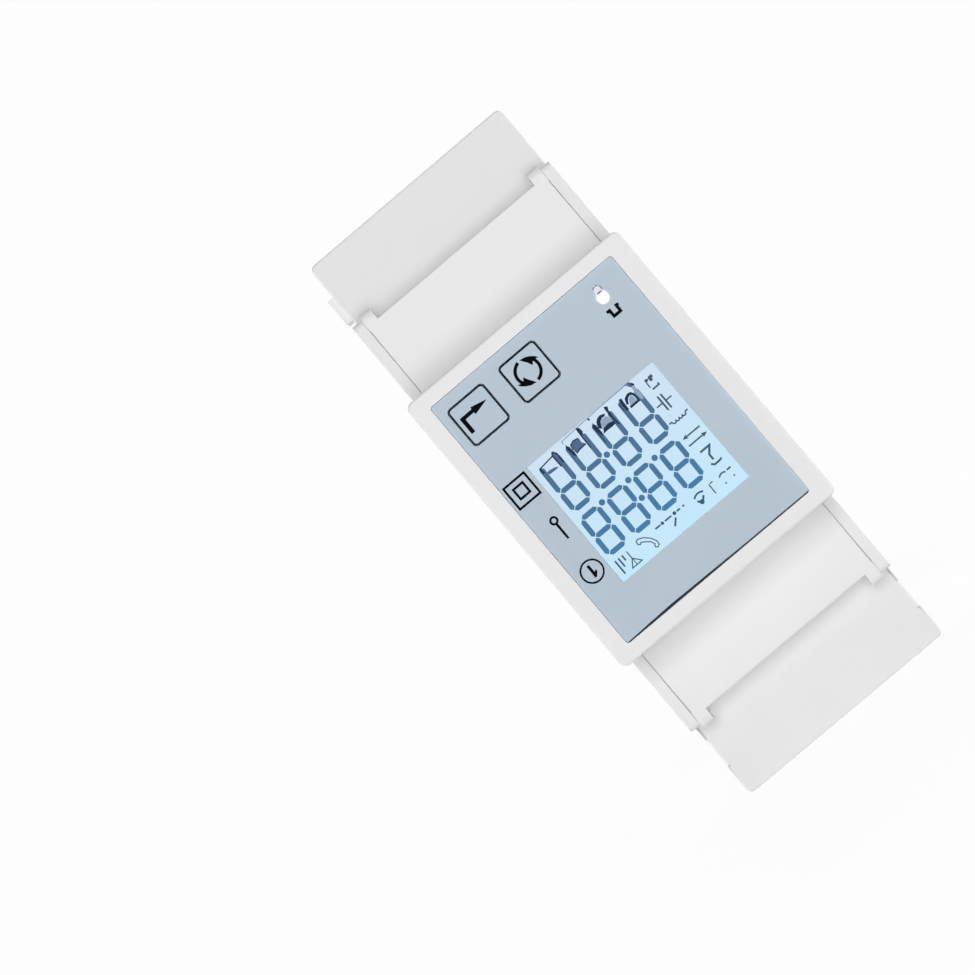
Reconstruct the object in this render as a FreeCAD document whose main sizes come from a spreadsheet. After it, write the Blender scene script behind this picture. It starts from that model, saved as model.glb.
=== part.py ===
import FreeCAD, Part
import math
import os
import re

import Sketcher
from FreeCAD import Placement, Rotation, Vector

# DIN rail energy meter, two modules wide, as it hangs on its rail.
# X runs across the width, Z up to the top terminals, and the front faces -Y.
# The origin is the middle of the rail, on the front of the rail's lips.
# A "reach" is a distance in front of that plane: a reach of 58 is Y = -58.

# Driving dimensions in millimetres, by group, each a named cell of the sheet
SIZES = {
    "Case": {
        "module_width": 36,
        "body_length": 99,
        "front_reach": 58,
        "cover_drop": 13.1,
        "hood_drop": 20,
        "cap_length": 44.5,
        "wall": 1.6,
        "parting_reach": 22,
        "rear_wall": 1.8,
        "foot_depth": 7,
        "cap_corner": 1.0,
        "cap_rim": 0.45,
        "hood_corner": 0.9,
        "hood_rim": 0.4,
        "foot_corner": 0.6,
        "lap_depth": 1.2,
        "lap_thickness": 0.7,
        "lap_gap": 0.1,
        "shelf_rise": 1.6,
        "shelf_thickness": 1.2,
        "lug_near": 39.95,
        "lug_far": 44.35,
        "lug_stand": 1.1,
        "lug_drop": 2.2,
        "lug_height": 2.4,
        "slot_near": 39.5,
        "slot_far": 44.5,
        "slot_width": 0.45,
        "slot_depth": 0.9,
    },
    "Snap joints": {
        "snap_near": 39.7,
        "snap_far": 44.1,
        "tongue_thickness": 1.2,
        "tongue_gap": 0.1,
        "tongue_length": 8.4,
        "nose_setback": 1.1,
        "nose_height": 2.0,
        "nose_stand": 0.9,
        "snap_play": 0.2,
    },
    "Terminal covers": {
        "top_cover_edge": 36.2,
        "bottom_cover_edge": 34.9,
        "cover_thickness": 1.4,
        "cover_gap": 0.2,
        "cover_side_gap": 0.03,
        "cover_corner": 0.3,
        "cover_rim": 0.25,
        "knuckle_radius": 1.7,
        "knuckle_width": 2.0,
        "axis_offset": 0.45,
        "pin_radius": 0.6,
        "pin_clearance": 0.06,
        "pin_end_inset": 0.15,
        "ear_end": 0.95,
        "ear_round": 1.1,
        "step_gap": 0.25,
    },
    "Rail and hook": {
        "rail_width": 35,
        "rail_lip": 1.0,
        "rail_gap": 0.4,
        "seat_inset": 2,
        "seat_step": 0.3,
        "hook_clearance": 0.25,
        "hook_thickness": 1.6,
        "hook_overlap": 1.6,
        "hook_inset": 3,
    },
    "Rail clip": {
        "clip_width": 14,
        "clip_thickness": 4.25,
        "clip_gap": 0.15,
        "clip_overlap": 1.8,
        "clip_ramp": 1.8,
        "clip_tail_inset": 0.5,
        "window_width": 4.8,
        "window_near": 22,
        "rib_near": 33,
        "rib_thickness": 2,
        "rib_width": 3.6,
        "guide_overlap": 1.2,
        "guide_thickness": 1.2,
        "guide_inset": 4.5,
        "pull_slot_width": 6,
        "pull_slot_height": 2.4,
        "pull_slot_inset": 2.2,
        "peg_radius": 0.9,
        "peg_length": 1.6,
        "spring_wire": 0.5,
        "spring_radius": 1.55,
        "spring_turns": 8,
        "spring_seat": 0.05,
    },
    "Terminals": {
        "screw_place": 27.6,
        "block_near": 22.8,
        "block_far": 38,
        "block_side_wall": 1.0,
        "block_side_gap": 0.5,
        "cell_wall": 1.4,
        "block_gap": 0.2,
        "access_radius": 2.2,
        "head_radius": 2.0,
        "head_height": 2.1,
        "head_sink": 0.3,
        "head_slot_width": 0.7,
        "head_slot_depth": 0.9,
        "head_cross_length": 2.4,
        "shank_radius": 1.5,
        "shank_gap": 0.2,
        "tip_gap": 0.1,
        "shoulder": 1.0,
        "cage_length": 6.2,
        "cage_wall": 0.9,
        "cage_roof": 1.5,
        "cage_base": 1.0,
        "cage_play": 0.3,
        "cage_side_gap": 0.15,
        "cage_travel": 2.5,
        "thread_gap": 0.04,
        "wire_height": 4.7,
        "funnel_margin": 0.25,
        "bar_margin": 0.35,
        "bar_thickness": 1.2,
        "bar_gap": 0.1,
        "bar_rest": 0.8,
        "tail_thickness": 0.8,
        "tail_stand": 0.2,
        "tail_pin_width": 1.2,
        "tail_pin_length": 1.2,
        "pin_hole_gap": 0.15,
        "block_floor": 1.7,
        "entry_rib": 1.8,
        "entry_margin": 0.8,
    },
    "Front plate": {
        "plate_side": 2.6,
        "plate_end": 2.25,
        "plate_x": -0.1,
        "plate_thickness": 0.8,
        "plate_recess": 0.3,
        "plate_gap": 0.04,
        "plate_corner": 0.4,
        "view_side": 4.7,
        "view_above": 14,
        "view_below": 6.4,
        "view_x": -0.17,
        "key_side": 6.0,
        "key_gap": 0.1,
        "key_corner": 0.6,
        "key_flange": 7.6,
        "key_flange_thickness": 1.0,
        "key_play": 0.1,
        "key_drop": 4.73,
        "enter_inset": 4.3,
        "key_pitch": 8.7,
        "lamp_inset": 4.25,
        "lamp_drop": 3.4,
        "pipe_radius": 0.88,
        "pipe_gap": 0.05,
        "pipe_flange_radius": 1.8,
        "pipe_flange_thickness": 0.8,
    },
    "Display": {
        "glass_gap": 0.2,
        "glass_margin": 0.8,
        "glass_ledge": 2.3,
        "glass_fit": 0.1,
        "pane": 1.1,
        "frame_wall": 1.0,
        "frame_gap": 0.1,
        "frame_floor": 1.6,
        "guide_gap": 0.1,
        "zebra_width": 1.6,
        "panel_drop": 5.3,
        "board_thickness": 1.6,
        "panel_margin": 0.5,
        "backlight_height": 0.8,
        "backlight_width": 2.0,
        "backlight_length": 3.0,
        "backlight_inset_x": 3,
        "backlight_inset_z": 2.3,
        "post_radius": 1.3,
        "post_inset": 2.1,
        "upper_post_drop": 10.7,
        "lower_post_rise": 4.5,
        "post_screw_radius": 0.6,
        "post_screw_head": 1.3,
        "post_head_height": 0.9,
        "post_screw_length": 3.6,
        "post_root": 0.5,
        "switch_side": 6.0,
        "plunger_radius": 1.7,
        "plunger_gap": 0.05,
        "plunger_stand": 0.7,
        "plunger_sunk": 1.2,
        "plunger_room": 0.6,
        "lamp_radius": 1.5,
        "lamp_dome": 1.3,
        "lamp_rim": 1.9,
        "lamp_rim_height": 1.0,
        "lamp_gap": 0.2,
        "controller_side": 10,
        "controller_height": 1.4,
        "controller_z": -7,
    },
    "Main board": {
        "board_side_gap": 0.7,
        "board_end_margin": 0.2,
        "boss_inset": 3.6,
        "boss_z": 16.6,
        "boss_radius": 2.3,
        "boss_screw_radius": 1.1,
        "boss_screw_length": 8,
        "boss_head_radius": 2.1,
        "boss_head_height": 1.5,
        "screw_hole_gap": 0.15,
        "header_z": 14,
        "header_width": 13,
        "header_depth": 5,
        "header_height": 2.5,
        "header_pitch": 2.54,
        "header_pin": 0.64,
        "meter_chip_side": 7,
        "meter_chip_height": 1.5,
        "meter_chip_z": -3,
        "crystal_inset": 4.7,
        "crystal_z": -3,
        "crystal_width": 4.6,
        "crystal_length": 11,
        "crystal_height": 3.6,
        "driver_inset": 5.7,
        "driver_z": 7,
        "driver_width": 4,
        "driver_length": 5,
        "driver_height": 1.6,
        "coupler_inset": 4.4,
        "coupler_z": -2,
        "coupler_pitch": 7,
        "coupler_width": 6.4,
        "coupler_length": 4.6,
        "coupler_height": 3.6,
        "divider_z": -14,
        "divider_pitch": 2.6,
        "divider_radius": 0.8,
        "divider_length": 5.4,
        "lead_reach": 1.0,
        "lead_width": 0.6,
        "lead_thickness": 0.3,
    },
    "Mains parts": {
        "transformer_width": 16,
        "transformer_length": 15,
        "transformer_room": 7.2,
        "transformer_x": 2,
        "transformer_z": 5,
        "bobbin_width": 12,
        "bobbin_drop": 5,
        "bobbin_overhang": 2,
        "buffer_radius": 5,
        "buffer_room": 5.2,
        "buffer_round": 0.6,
        "buffer_inset": 7.2,
        "buffer_z": -10.6,
        "film_width": 7.5,
        "film_length": 13,
        "film_room": 9.2,
        "film_corner": 0.4,
        "film_inset": 9.7,
        "film_z": -11.4,
        "varistor_radius": 5,
        "varistor_thickness": 4,
        "varistor_inset": 6.7,
        "varistor_z": -29,
        "resistor_radius": 2,
        "resistor_length": 11,
        "resistor_overhang": 2,
        "resistor_x": 0,
        "resistor_z": 34,
        "choke_radius": 4,
        "choke_core": 2.6,
        "choke_height": 8,
        "choke_rim": 1.2,
        "choke_inset": 6.7,
        "choke_z": -29,
        "bridge_width": 6.4,
        "bridge_length": 8,
        "bridge_height": 2.8,
        "bridge_z": 27,
        "lead_radius": 0.35,
        "lead_stand": 1.2,
    },
}

VALUES = {name: size for group in SIZES.values() for name, size in group.items()}
NAMES = re.compile(r"\b(" + "|".join(sorted(VALUES, key=len, reverse=True)) + r")\b")

# Reaches of the case, from the front backwards
COVER_FACE = "(front_reach - cover_drop)"
HOOD_FACE = "(front_reach - hood_drop)"
DECK_FACE = f"({COVER_FACE} - cover_thickness - cover_gap)"
DECK_BACK = f"({DECK_FACE} - wall)"
PLATE_FACE = "(front_reach - plate_recess)"
PLATE_BACK = f"({PLATE_FACE} - plate_thickness)"
FLOOR_BACK = f"({PLATE_BACK} - wall)"
PIN_REACH = f"({COVER_FACE} - knuckle_radius)"
SHELF_BASE = "(parting_reach + shelf_rise)"
SHELF_TOP = f"({SHELF_BASE} + shelf_thickness)"
LUG_REACH = f"({HOOD_FACE} - lug_drop)"

# Reaches of one terminal, from the deck down to the board, with the cage lowered
BLOCK_TOP = f"({DECK_BACK} - block_gap)"
HEAD_TOP = f"({BLOCK_TOP} - head_sink)"
SHOULDER_TOP = f"({HEAD_TOP} - head_height)"
CAVITY_TOP = f"({SHOULDER_TOP} - shoulder)"
CAGE_TOP = f"({CAVITY_TOP} - cage_play - cage_travel)"
CAGE_ROOF = f"({CAGE_TOP} - cage_roof)"
BAR_TOP = f"({CAGE_ROOF} - cage_play)"
BAR_BASE = f"({BAR_TOP} - bar_thickness)"
WIRE_BASE = f"({BAR_BASE} - wire_height)"
CAGE_BASE = f"({WIRE_BASE} - cage_base)"
CAVITY_BASE = f"({CAGE_BASE} - cage_play)"
BOARD_FACE = f"({CAVITY_BASE} - block_floor)"
BOARD_BACK = f"({BOARD_FACE} - board_thickness)"

# Reaches of the display, from the glass back to its board
GLASS_FACE = f"({PLATE_BACK} - glass_gap)"
GLASS_STEP = f"({GLASS_FACE} - pane)"
GLASS_BACK = f"({GLASS_STEP} - pane)"
PANEL_FACE = f"({FLOOR_BACK} - panel_drop)"
PANEL_BACK = f"({PANEL_FACE} - board_thickness)"
GUIDE_BACK = f"({PANEL_FACE} + frame_floor)"
KEY_BACK = f"({FLOOR_BACK} - key_play - key_flange_thickness)"
PLUNGER_TOP = f"({KEY_BACK} - plunger_gap)"
SWITCH_TOP = f"({PLUNGER_TOP} - plunger_stand)"
PIPE_BACK = f"({FLOOR_BACK} - pipe_flange_thickness)"
LAMP_TOP = f"({PIPE_BACK} - lamp_gap)"

# Front plate, its window, keys and lamp, from the plate's edges inwards
PLATE_WIDTH = "(module_width - plate_side * 2)"
PLATE_LENGTH = "(cap_length - plate_end * 2)"
VIEW_WIDTH = f"({PLATE_WIDTH} - view_side * 2)"
VIEW_LENGTH = f"({PLATE_LENGTH} - view_above - view_below)"
VIEW_Z = "((view_below - view_above) / 2)"
KEY_Z = f"({PLATE_LENGTH} / 2 - key_drop)"
ENTER_X = f"(plate_x - {PLATE_WIDTH} / 2 + enter_inset)"
CYCLE_X = f"({ENTER_X} + key_pitch)"
LAMP_X = f"(plate_x + {PLATE_WIDTH} / 2 - lamp_inset)"
LAMP_Z = f"({PLATE_LENGTH} / 2 - lamp_drop)"

# Half sizes across and along the case
HALF_WIDTH = "(module_width / 2)"
INNER_WIDTH = "(module_width / 2 - wall)"
HALF_LENGTH = "(body_length / 2)"
INNER_LENGTH = "(body_length / 2 - wall)"
HALF_CAP = "(cap_length / 2)"
LEAF_WIDTH = "(module_width / 2 - wall - cover_side_gap)"
GLASS_WIDTH = f"({VIEW_WIDTH} / 2 + glass_margin)"
GLASS_LENGTH = f"({VIEW_LENGTH} / 2 + glass_ledge)"
FRAME_WIDTH = f"({GLASS_WIDTH} + glass_fit + frame_wall)"
FRAME_LENGTH = f"({GLASS_LENGTH} + glass_fit + frame_wall)"
PANEL_WIDTH = f"({INNER_WIDTH} - panel_margin)"
PANEL_LENGTH = f"({HALF_CAP} - wall - panel_margin)"
BOARD_WIDTH = f"({INNER_WIDTH} - board_side_gap)"
BOARD_LENGTH = "(block_far + board_end_margin)"
BACKLIGHT_WIDTH = f"({GLASS_WIDTH} - frame_wall * 3)"
BACKLIGHT_LENGTH = f"({GLASS_LENGTH} - glass_ledge - frame_wall * 3)"

# Four cells across a terminal block, and what fills one of them
BLOCK_WIDTH = f"({INNER_WIDTH} - block_side_gap)"
CELL_WIDTH = f"(({BLOCK_WIDTH} * 2 - block_side_wall * 2 - cell_wall * 3) / 4)"
PITCH = f"({CELL_WIDTH} + cell_wall)"
CAGE_WIDTH = f"({CELL_WIDTH} - cage_side_gap * 2)"
CAGE_WINDOW = f"({CAGE_WIDTH} - cage_wall * 2)"
FUNNEL_WIDTH = f"({CAGE_WINDOW} + funnel_margin * 2)"
BAR_WIDTH = f"({CAGE_WINDOW} - bar_margin * 2)"
ENTRY_WIDTH = f"({PITCH} - entry_rib)"

# Places of posts, bosses and board parts, in from the sides and ends
POST_X = f"({INNER_WIDTH} - post_inset)"
UPPER_POST_Z = f"({PLATE_LENGTH} / 2 - upper_post_drop)"
LOWER_POST_Z = f"(-{PLATE_LENGTH} / 2 + lower_post_rise)"
BOSS_X = f"({INNER_WIDTH} - boss_inset)"
CRYSTAL_X = f"({BOARD_WIDTH} - crystal_inset)"
DRIVER_X = f"(driver_inset - {BOARD_WIDTH})"
COUPLER_X = f"(coupler_inset - {BOARD_WIDTH})"
BUFFER_X = f"({BOARD_WIDTH} - buffer_inset)"
FILM_X = f"(film_inset - {BOARD_WIDTH})"
VARISTOR_X = f"(varistor_inset - {BOARD_WIDTH})"
CHOKE_X = f"({BOARD_WIDTH} - choke_inset)"

# Back ends of the tall mains parts, by the room left behind each one
TRANSFORMER_BACK = "(rear_wall + transformer_room)"
BUFFER_BACK = "(rear_wall + buffer_room)"
FILM_BACK = "(rear_wall + film_room)"

# Places on the rail side, as distances behind the seat or out from the middle
RAIL_EDGE = "(rail_width / 2)"
RECESS = "(rail_width / 2 + rail_gap)"
HOOK_FRONT = "(rail_lip + hook_clearance)"
FOOT_FLOOR = "(foot_depth - wall)"
CLIP_BACK = "(clip_gap + clip_thickness)"
CLIP_AXIS = "(clip_gap + clip_thickness / 2)"
CHANNEL = "(clip_width / 2 + clip_gap)"
RIB_FAR = "(rib_near + rib_thickness)"
TAIL_FAR = "(block_near - bar_gap)"
TAIL_NEAR = f"({TAIL_FAR} - tail_thickness)"

# Points on each turn of the spring where its gaps are measured
POINTS_PER_TURN = 40

doc = FreeCAD.newDocument("EnergyMeter")
nodes = []


def fill_sheet():
    """Write every driving dimension into the sheet, one named cell each."""
    sheet = doc.addObject("Spreadsheet::Sheet", "Sizes")
    row = 1
    for group, sizes in SIZES.items():
        sheet.set(f"A{row}", group)
        row += 1
        for name, size in sizes.items():
            sheet.set(f"A{row}", name)
            sheet.set(f"B{row}", str(size))
            sheet.setAlias(f"B{row}", name)
            row += 1
    doc.recompute()


def bind(item, prop, formula):
    """Tie a property to a formula written with the sheet's names."""
    item.setExpression(prop, NAMES.sub(lambda found: "Sizes." + found.group(), formula))


def keep(item, name):
    """Label a finished sub-part; the label names its file."""
    item.Label = name
    nodes.append(item)
    return item


def about(middle, half):
    """Span of a half size on each side of a middle."""
    return f"({middle}) - ({half})", f"({middle}) + ({half})"


def sides(half):
    """Span of a half size on each side of zero."""
    return f"-({half})", f"({half})"


def behind(near, far):
    """Span of reaches for two distances behind the rail seat."""
    return f"-({far})", f"-({near})"


def box(name, across, reach, along):
    """Block between two places on X, two reaches and two places on Z."""
    item = doc.addObject("Part::Box", name)
    bind(item, "Length", f"({across[1]}) - ({across[0]})")
    bind(item, "Width", f"({reach[1]}) - ({reach[0]})")
    bind(item, "Height", f"({along[1]}) - ({along[0]})")
    bind(item, "Placement.Base.x", across[0])
    bind(item, "Placement.Base.y", f"-({reach[1]})")
    bind(item, "Placement.Base.z", along[0])
    return item


def rod(name, radius, across, reach, along):
    """Cylinder that runs along whichever place is a span; the others give its axis."""
    item = doc.addObject("Part::Cylinder", name)
    bind(item, "Radius", radius)
    if isinstance(across, tuple):
        item.Placement = Placement(Vector(), Rotation(Vector(0, 1, 0), 90))
        span, start = across, (across[0], f"-({reach})", along)
    elif isinstance(reach, tuple):
        item.Placement = Placement(Vector(), Rotation(Vector(1, 0, 0), 90))
        span, start = reach, (across, f"-({reach[0]})", along)
    else:
        span, start = along, (across, f"-({reach})", along[0])
    bind(item, "Height", f"({span[1]}) - ({span[0]})")
    for letter, formula in zip("xyz", start):
        bind(item, f"Placement.Base.{letter}", formula)
    return item


def fused(name, *pieces):
    """One shape from several; pieces that stand apart stay separate solids."""
    item = doc.addObject("Part::MultiFuse", name)
    item.Shapes = list(pieces)
    item.Refine = True
    return item


def cut(name, base, *tools):
    """The base without the tools."""
    item = doc.addObject("Part::Cut", name)
    item.Base = base
    item.Tool = tools[0] if len(tools) == 1 else fused(name + "_tools", *tools)
    item.Refine = True
    return item


def sketch(body, name, plane, offset, outline):
    """Closed outline of straight edges, each corner tied to the sheet by two distances."""
    drawing = body.newObject("Sketcher::SketchObject", name)
    support = next(one for one in body.Origin.OriginFeatures if one.Role == plane)
    drawing.AttachmentSupport = (support, "")
    drawing.MapMode = "FlatFace"
    bind(drawing, "AttachmentOffset.Base.z", offset)
    count = len(outline)
    turns = [2 * math.pi * index / count for index in range(count)]
    rough = [Vector(math.cos(turn), math.sin(turn), 0) for turn in turns]
    for index in range(count):
        drawing.addGeometry(Part.LineSegment(rough[index], rough[(index + 1) % count]), False)
    for index in range(count):
        drawing.addConstraint(Sketcher.Constraint("Coincident", index, 2, (index + 1) % count, 1))
    for index in range(count):
        for way, letter, part in (("DistanceX", "x", 0), ("DistanceY", "y", 1)):
            rule = Sketcher.Constraint(way, -1, 1, index, 1, rough[index][part])
            drawing.renameConstraint(drawing.addConstraint(rule), f"{letter}{index}")
            bind(drawing, f"Constraints.{letter}{index}", outline[index][part])
    return drawing


def rectangle(across, along):
    """Outline of a rectangle from its two spans."""
    return [(across[0], along[0]), (across[1], along[0]),
            (across[1], along[1]), (across[0], along[1])]


def edges_where(shape, wanted):
    """Names of the edges that a test accepts."""
    return [f"Edge{number}" for number, edge in enumerate(shape.Edges, 1) if wanted(edge)]


def runs_deep(edge):
    """Tell whether an edge runs straight from front to back."""
    start, end = edge.Vertexes[0].Point, edge.Vertexes[-1].Point
    return abs(start.x - end.x) < 1e-6 and abs(start.z - end.z) < 1e-6


def on_front(shape):
    """Test for the edges that lie in a shape's foremost plane."""
    front = shape.BoundBox.YMin
    return lambda edge: edge.BoundBox.YMax - front < 1e-6


def rounded(body, feature, wanted, radius):
    """Round the edges of a body's last feature that a test accepts."""
    doc.recompute()
    fillet = body.newObject("PartDesign::Fillet", feature.Name + "_round")
    fillet.Base = (feature, edges_where(feature.Shape, wanted))
    bind(fillet, "Radius", radius)
    doc.recompute()
    return fillet


def padded(body, plane, offset, outline, length):
    """Pad an outline from its plane."""
    pad = body.newObject("PartDesign::Pad", body.Name + "_pad")
    pad.Profile = sketch(body, body.Name + "_outline", plane, offset, outline)
    bind(pad, "Length", length)
    return pad


def moulding(name, across, reach, along, corner, rim=None):
    """Padded rectangle with round corners, and a round front rim where one is given."""
    body = doc.addObject("PartDesign::Body", name)
    pad = padded(body, "XZ_Plane", reach[0], rectangle(across, along),
                 f"({reach[1]}) - ({reach[0]})")
    feature = rounded(body, pad, runs_deep, corner)
    if rim:
        rounded(body, feature, on_front(feature.Shape), rim)
    return body


def pocket(body, name, reach, depth, outline):
    """Cut an outline into a body, from a reach backwards."""
    feature = body.newObject("PartDesign::Pocket", name)
    feature.Profile = sketch(body, name + "_outline", "XZ_Plane", reach, outline)
    bind(feature, "Length", depth)
    return feature


def turned(name, across, along, outline):
    """Body of revolution about a Y axis at a place on X and Z, from radius and Y pairs."""
    body = doc.addObject("PartDesign::Body", name)
    feature = body.newObject("PartDesign::Revolution", name + "_turn")
    drawing = sketch(body, name + "_outline", "XY_Plane", "0", outline)
    feature.Profile = drawing
    feature.ReferenceAxis = (drawing, ["V_Axis"])
    feature.Angle = 360
    bind(body, "Placement.Base.x", across)
    bind(body, "Placement.Base.z", along)
    return body


def headed(tip, seat, top, shank, head):
    """Outline of a turned part: one radius from its tip to a seat, another up to its top."""
    return [("0", f"-({tip})"), (shank, f"-({tip})"), (shank, f"-({seat})"),
            (head, f"-({seat})"), (head, f"-({top})"), ("0", f"-({top})")]


class End:
    """One terminal end: its name, its side of the middle and its cover's outer edge."""

    def __init__(self, name, sign, cover_edge):
        self.name = name
        self.sign = sign
        self.cover_edge = cover_edge
        self.axis = f"({cover_edge} + axis_offset)"
        self.step = f"({self.axis} - knuckle_radius - step_gap)"

    def at(self, distance):
        """Place on Z at a distance out from the middle."""
        return f"({distance})" if self.sign > 0 else f"-({distance})"

    def span(self, near, far):
        """Span on Z between two distances out from the middle."""
        return (f"({near})", f"({far})") if self.sign > 0 else (f"-({far})", f"-({near})")


ENDS = (End("top", 1, "top_cover_edge"), End("bottom", -1, "bottom_cover_edge"))
SIDES = (("left", -1), ("right", 1))
COLUMNS = [f"({PITCH} * {index - 1.5})" for index in range(4)]
POSTS = [(f"{side} * {POST_X}", along) for along in (UPPER_POST_Z, LOWER_POST_Z)
         for side in (-1, 1)]
BOSSES = [(f"{side} * {BOSS_X}", f"{level} * boss_z") for level in (-1, 1) for side in (-1, 1)]


def flank(side, near, far):
    """Span on X between two distances from the middle, on one side of it."""
    return (f"({near})", f"({far})") if side > 0 else (f"-({far})", f"-({near})")


def make_ear(end, label, side):
    """Cheek beside a terminal cover, which holds one of its pins."""
    body = doc.addObject("PartDesign::Body", f"{end.name}_{label}_ear")
    root = f"({HOOD_FACE} - hood_rim * 2)"
    along = end.span(f"{HALF_CAP} - cap_corner * 2", f"{end.axis} + ear_end")
    pad = padded(body, "XZ_Plane", root,
                 rectangle(flank(side, INNER_WIDTH, HALF_WIDTH), along), f"{COVER_FACE} - {root}")
    doc.recompute()
    in_front = on_front(pad.Shape)
    far = pad.Shape.BoundBox.ZMax if end.sign > 0 else pad.Shape.BoundBox.ZMin

    def is_nose(edge):
        """Tell the edge at the ear's outer end."""
        bounds = edge.BoundBox
        return in_front(edge) and bounds.ZLength < 1e-6 and abs(bounds.ZMin - far) < 1e-6

    rounded(body, pad, is_nose, "ear_round")
    return body


def make_tongue(end, label, side):
    """Snap tongue that hangs from a shelf, with its nose pointing outwards."""
    inner = f"{INNER_WIDTH} - tongue_gap - tongue_thickness"
    outer = f"{INNER_WIDTH} - tongue_gap"
    tip = f"{SHELF_BASE} - tongue_length"
    along = end.span("snap_near", "snap_far")
    blade = box(f"{end.name}_{label}_tongue", flank(side, inner, outer),
                (tip, f"{SHELF_BASE} + shelf_thickness / 2"), along)
    nose = box(f"{end.name}_{label}_nose",
               flank(side, f"{outer} - tongue_thickness / 2", f"{INNER_WIDTH} + nose_stand"),
               (f"{tip} + nose_setback", f"{tip} + nose_setback + nose_height"), along)
    return [blade, nose]


def key_opening(name, across, reach):
    """Hole that one key slides in."""
    half = "key_side / 2 + key_gap"
    return moulding(name, about(across, half), reach, about(KEY_Z, half), "key_corner + key_gap")


def make_front_housing():
    """Front moulding, open at the back, with its openings, posts, shelves and tongues."""
    through_floor = (f"{FLOOR_BACK} - wall", f"{PLATE_BACK} + wall")
    skin = [moulding("cap", sides(HALF_WIDTH), ("parting_reach", "front_reach"),
                     sides(HALF_CAP), "cap_corner", "cap_rim"),
            moulding("hoods", sides(HALF_WIDTH), ("parting_reach", HOOD_FACE),
                     sides(HALF_LENGTH), "hood_corner", "hood_rim")]
    rooms = [box("cap_room", sides(INNER_WIDTH), ("0", FLOOR_BACK), sides(f"{HALF_CAP} - wall")),
             box("hood_room", sides(INNER_WIDTH), ("0", f"{HOOD_FACE} - wall"),
                 sides(INNER_LENGTH)),
             box("rebate", sides(f"{INNER_WIDTH} + lap_thickness + lap_gap"),
                 ("0", "parting_reach + lap_depth + lap_gap"),
                 sides(f"{INNER_LENGTH} + lap_thickness + lap_gap")),
             moulding("plate_seat", about("plate_x", f"{PLATE_WIDTH} / 2 + plate_gap"),
                      (PLATE_BACK, "front_reach + wall"), sides(f"{PLATE_LENGTH} / 2 + plate_gap"),
                      "plate_corner + plate_gap"),
             box("glass_opening", about("view_x", f"{FRAME_WIDTH} + frame_gap"), through_floor,
                 about(VIEW_Z, f"{FRAME_LENGTH} + frame_gap")),
             key_opening("enter_opening", ENTER_X, through_floor),
             key_opening("cycle_opening", CYCLE_X, through_floor),
             rod("pipe_opening", "pipe_radius + pipe_gap", LAMP_X, through_floor, LAMP_Z)]
    inside = []
    for end in ENDS:
        skin.append(box(f"{end.name}_deck", sides(HALF_WIDTH), ("parting_reach", DECK_FACE),
                        end.span(f"{HALF_CAP} - cap_corner * 2", end.step)))
        skin += [make_ear(end, label, side) for label, side in SIDES]
        rooms.append(box(f"{end.name}_deck_room", sides(INNER_WIDTH), ("0", DECK_BACK),
                         end.span(f"{HALF_CAP} - wall * 2", f"{end.step} - wall")))
        rooms.append(rod(f"{end.name}_pin_bore", "pin_radius + pin_clearance",
                         sides(f"{HALF_WIDTH} + wall"), PIN_REACH, end.at(end.axis)))
        for number, column in enumerate(COLUMNS, 1):
            rooms.append(rod(f"{end.name}_access_{number}", "access_radius", column,
                             (f"{DECK_BACK} - wall", f"{DECK_FACE} + wall"),
                             end.at("screw_place")))
            rooms.append(box(f"{end.name}_entry_{number}", about(column, f"{ENTRY_WIDTH} / 2"),
                             (f"{WIRE_BASE} - entry_margin", f"{BAR_BASE} + entry_margin"),
                             end.span(f"{INNER_LENGTH} - wall", f"{HALF_LENGTH} + wall")))
        inside.append(box(f"{end.name}_shelf", sides(INNER_WIDTH), (SHELF_BASE, SHELF_TOP),
                          end.span("block_far + board_end_margin * 2", INNER_LENGTH)))
        for label, side in SIDES:
            inside += make_tongue(end, label, side)
    for label, side in SIDES:
        rooms.append(box(f"{label}_slot", flank(side, f"{HALF_WIDTH} - slot_width", HALF_WIDTH),
                         (f"{HOOD_FACE} - slot_depth", f"{HOOD_FACE} + wall"),
                         ("-slot_far", "-slot_near")))
    for number, (across, along) in enumerate(POSTS, 1):
        inside.append(rod(f"post_{number}", "post_radius", across,
                          (PANEL_FACE, f"{FLOOR_BACK} + post_root"), along))
    inside.append(box("side_lug", (f"-({HALF_WIDTH} + lug_stand)", f"-{INNER_WIDTH}"),
                      about(LUG_REACH, "lug_height / 2"), ("lug_near", "lug_far")))
    hollow = cut("front_hollow", fused("front_skin", *skin), *rooms)
    bores = [rod(f"post_bore_{number}", "post_screw_radius + thread_gap", across,
                 (f"{PANEL_FACE} - wall", f"{PANEL_BACK} + post_screw_length + thread_gap"), along)
             for number, (across, along) in enumerate(POSTS, 1)]
    keep(cut("front_housing", fused("front_solid", hollow, *inside), *bores), "front_housing")


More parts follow.
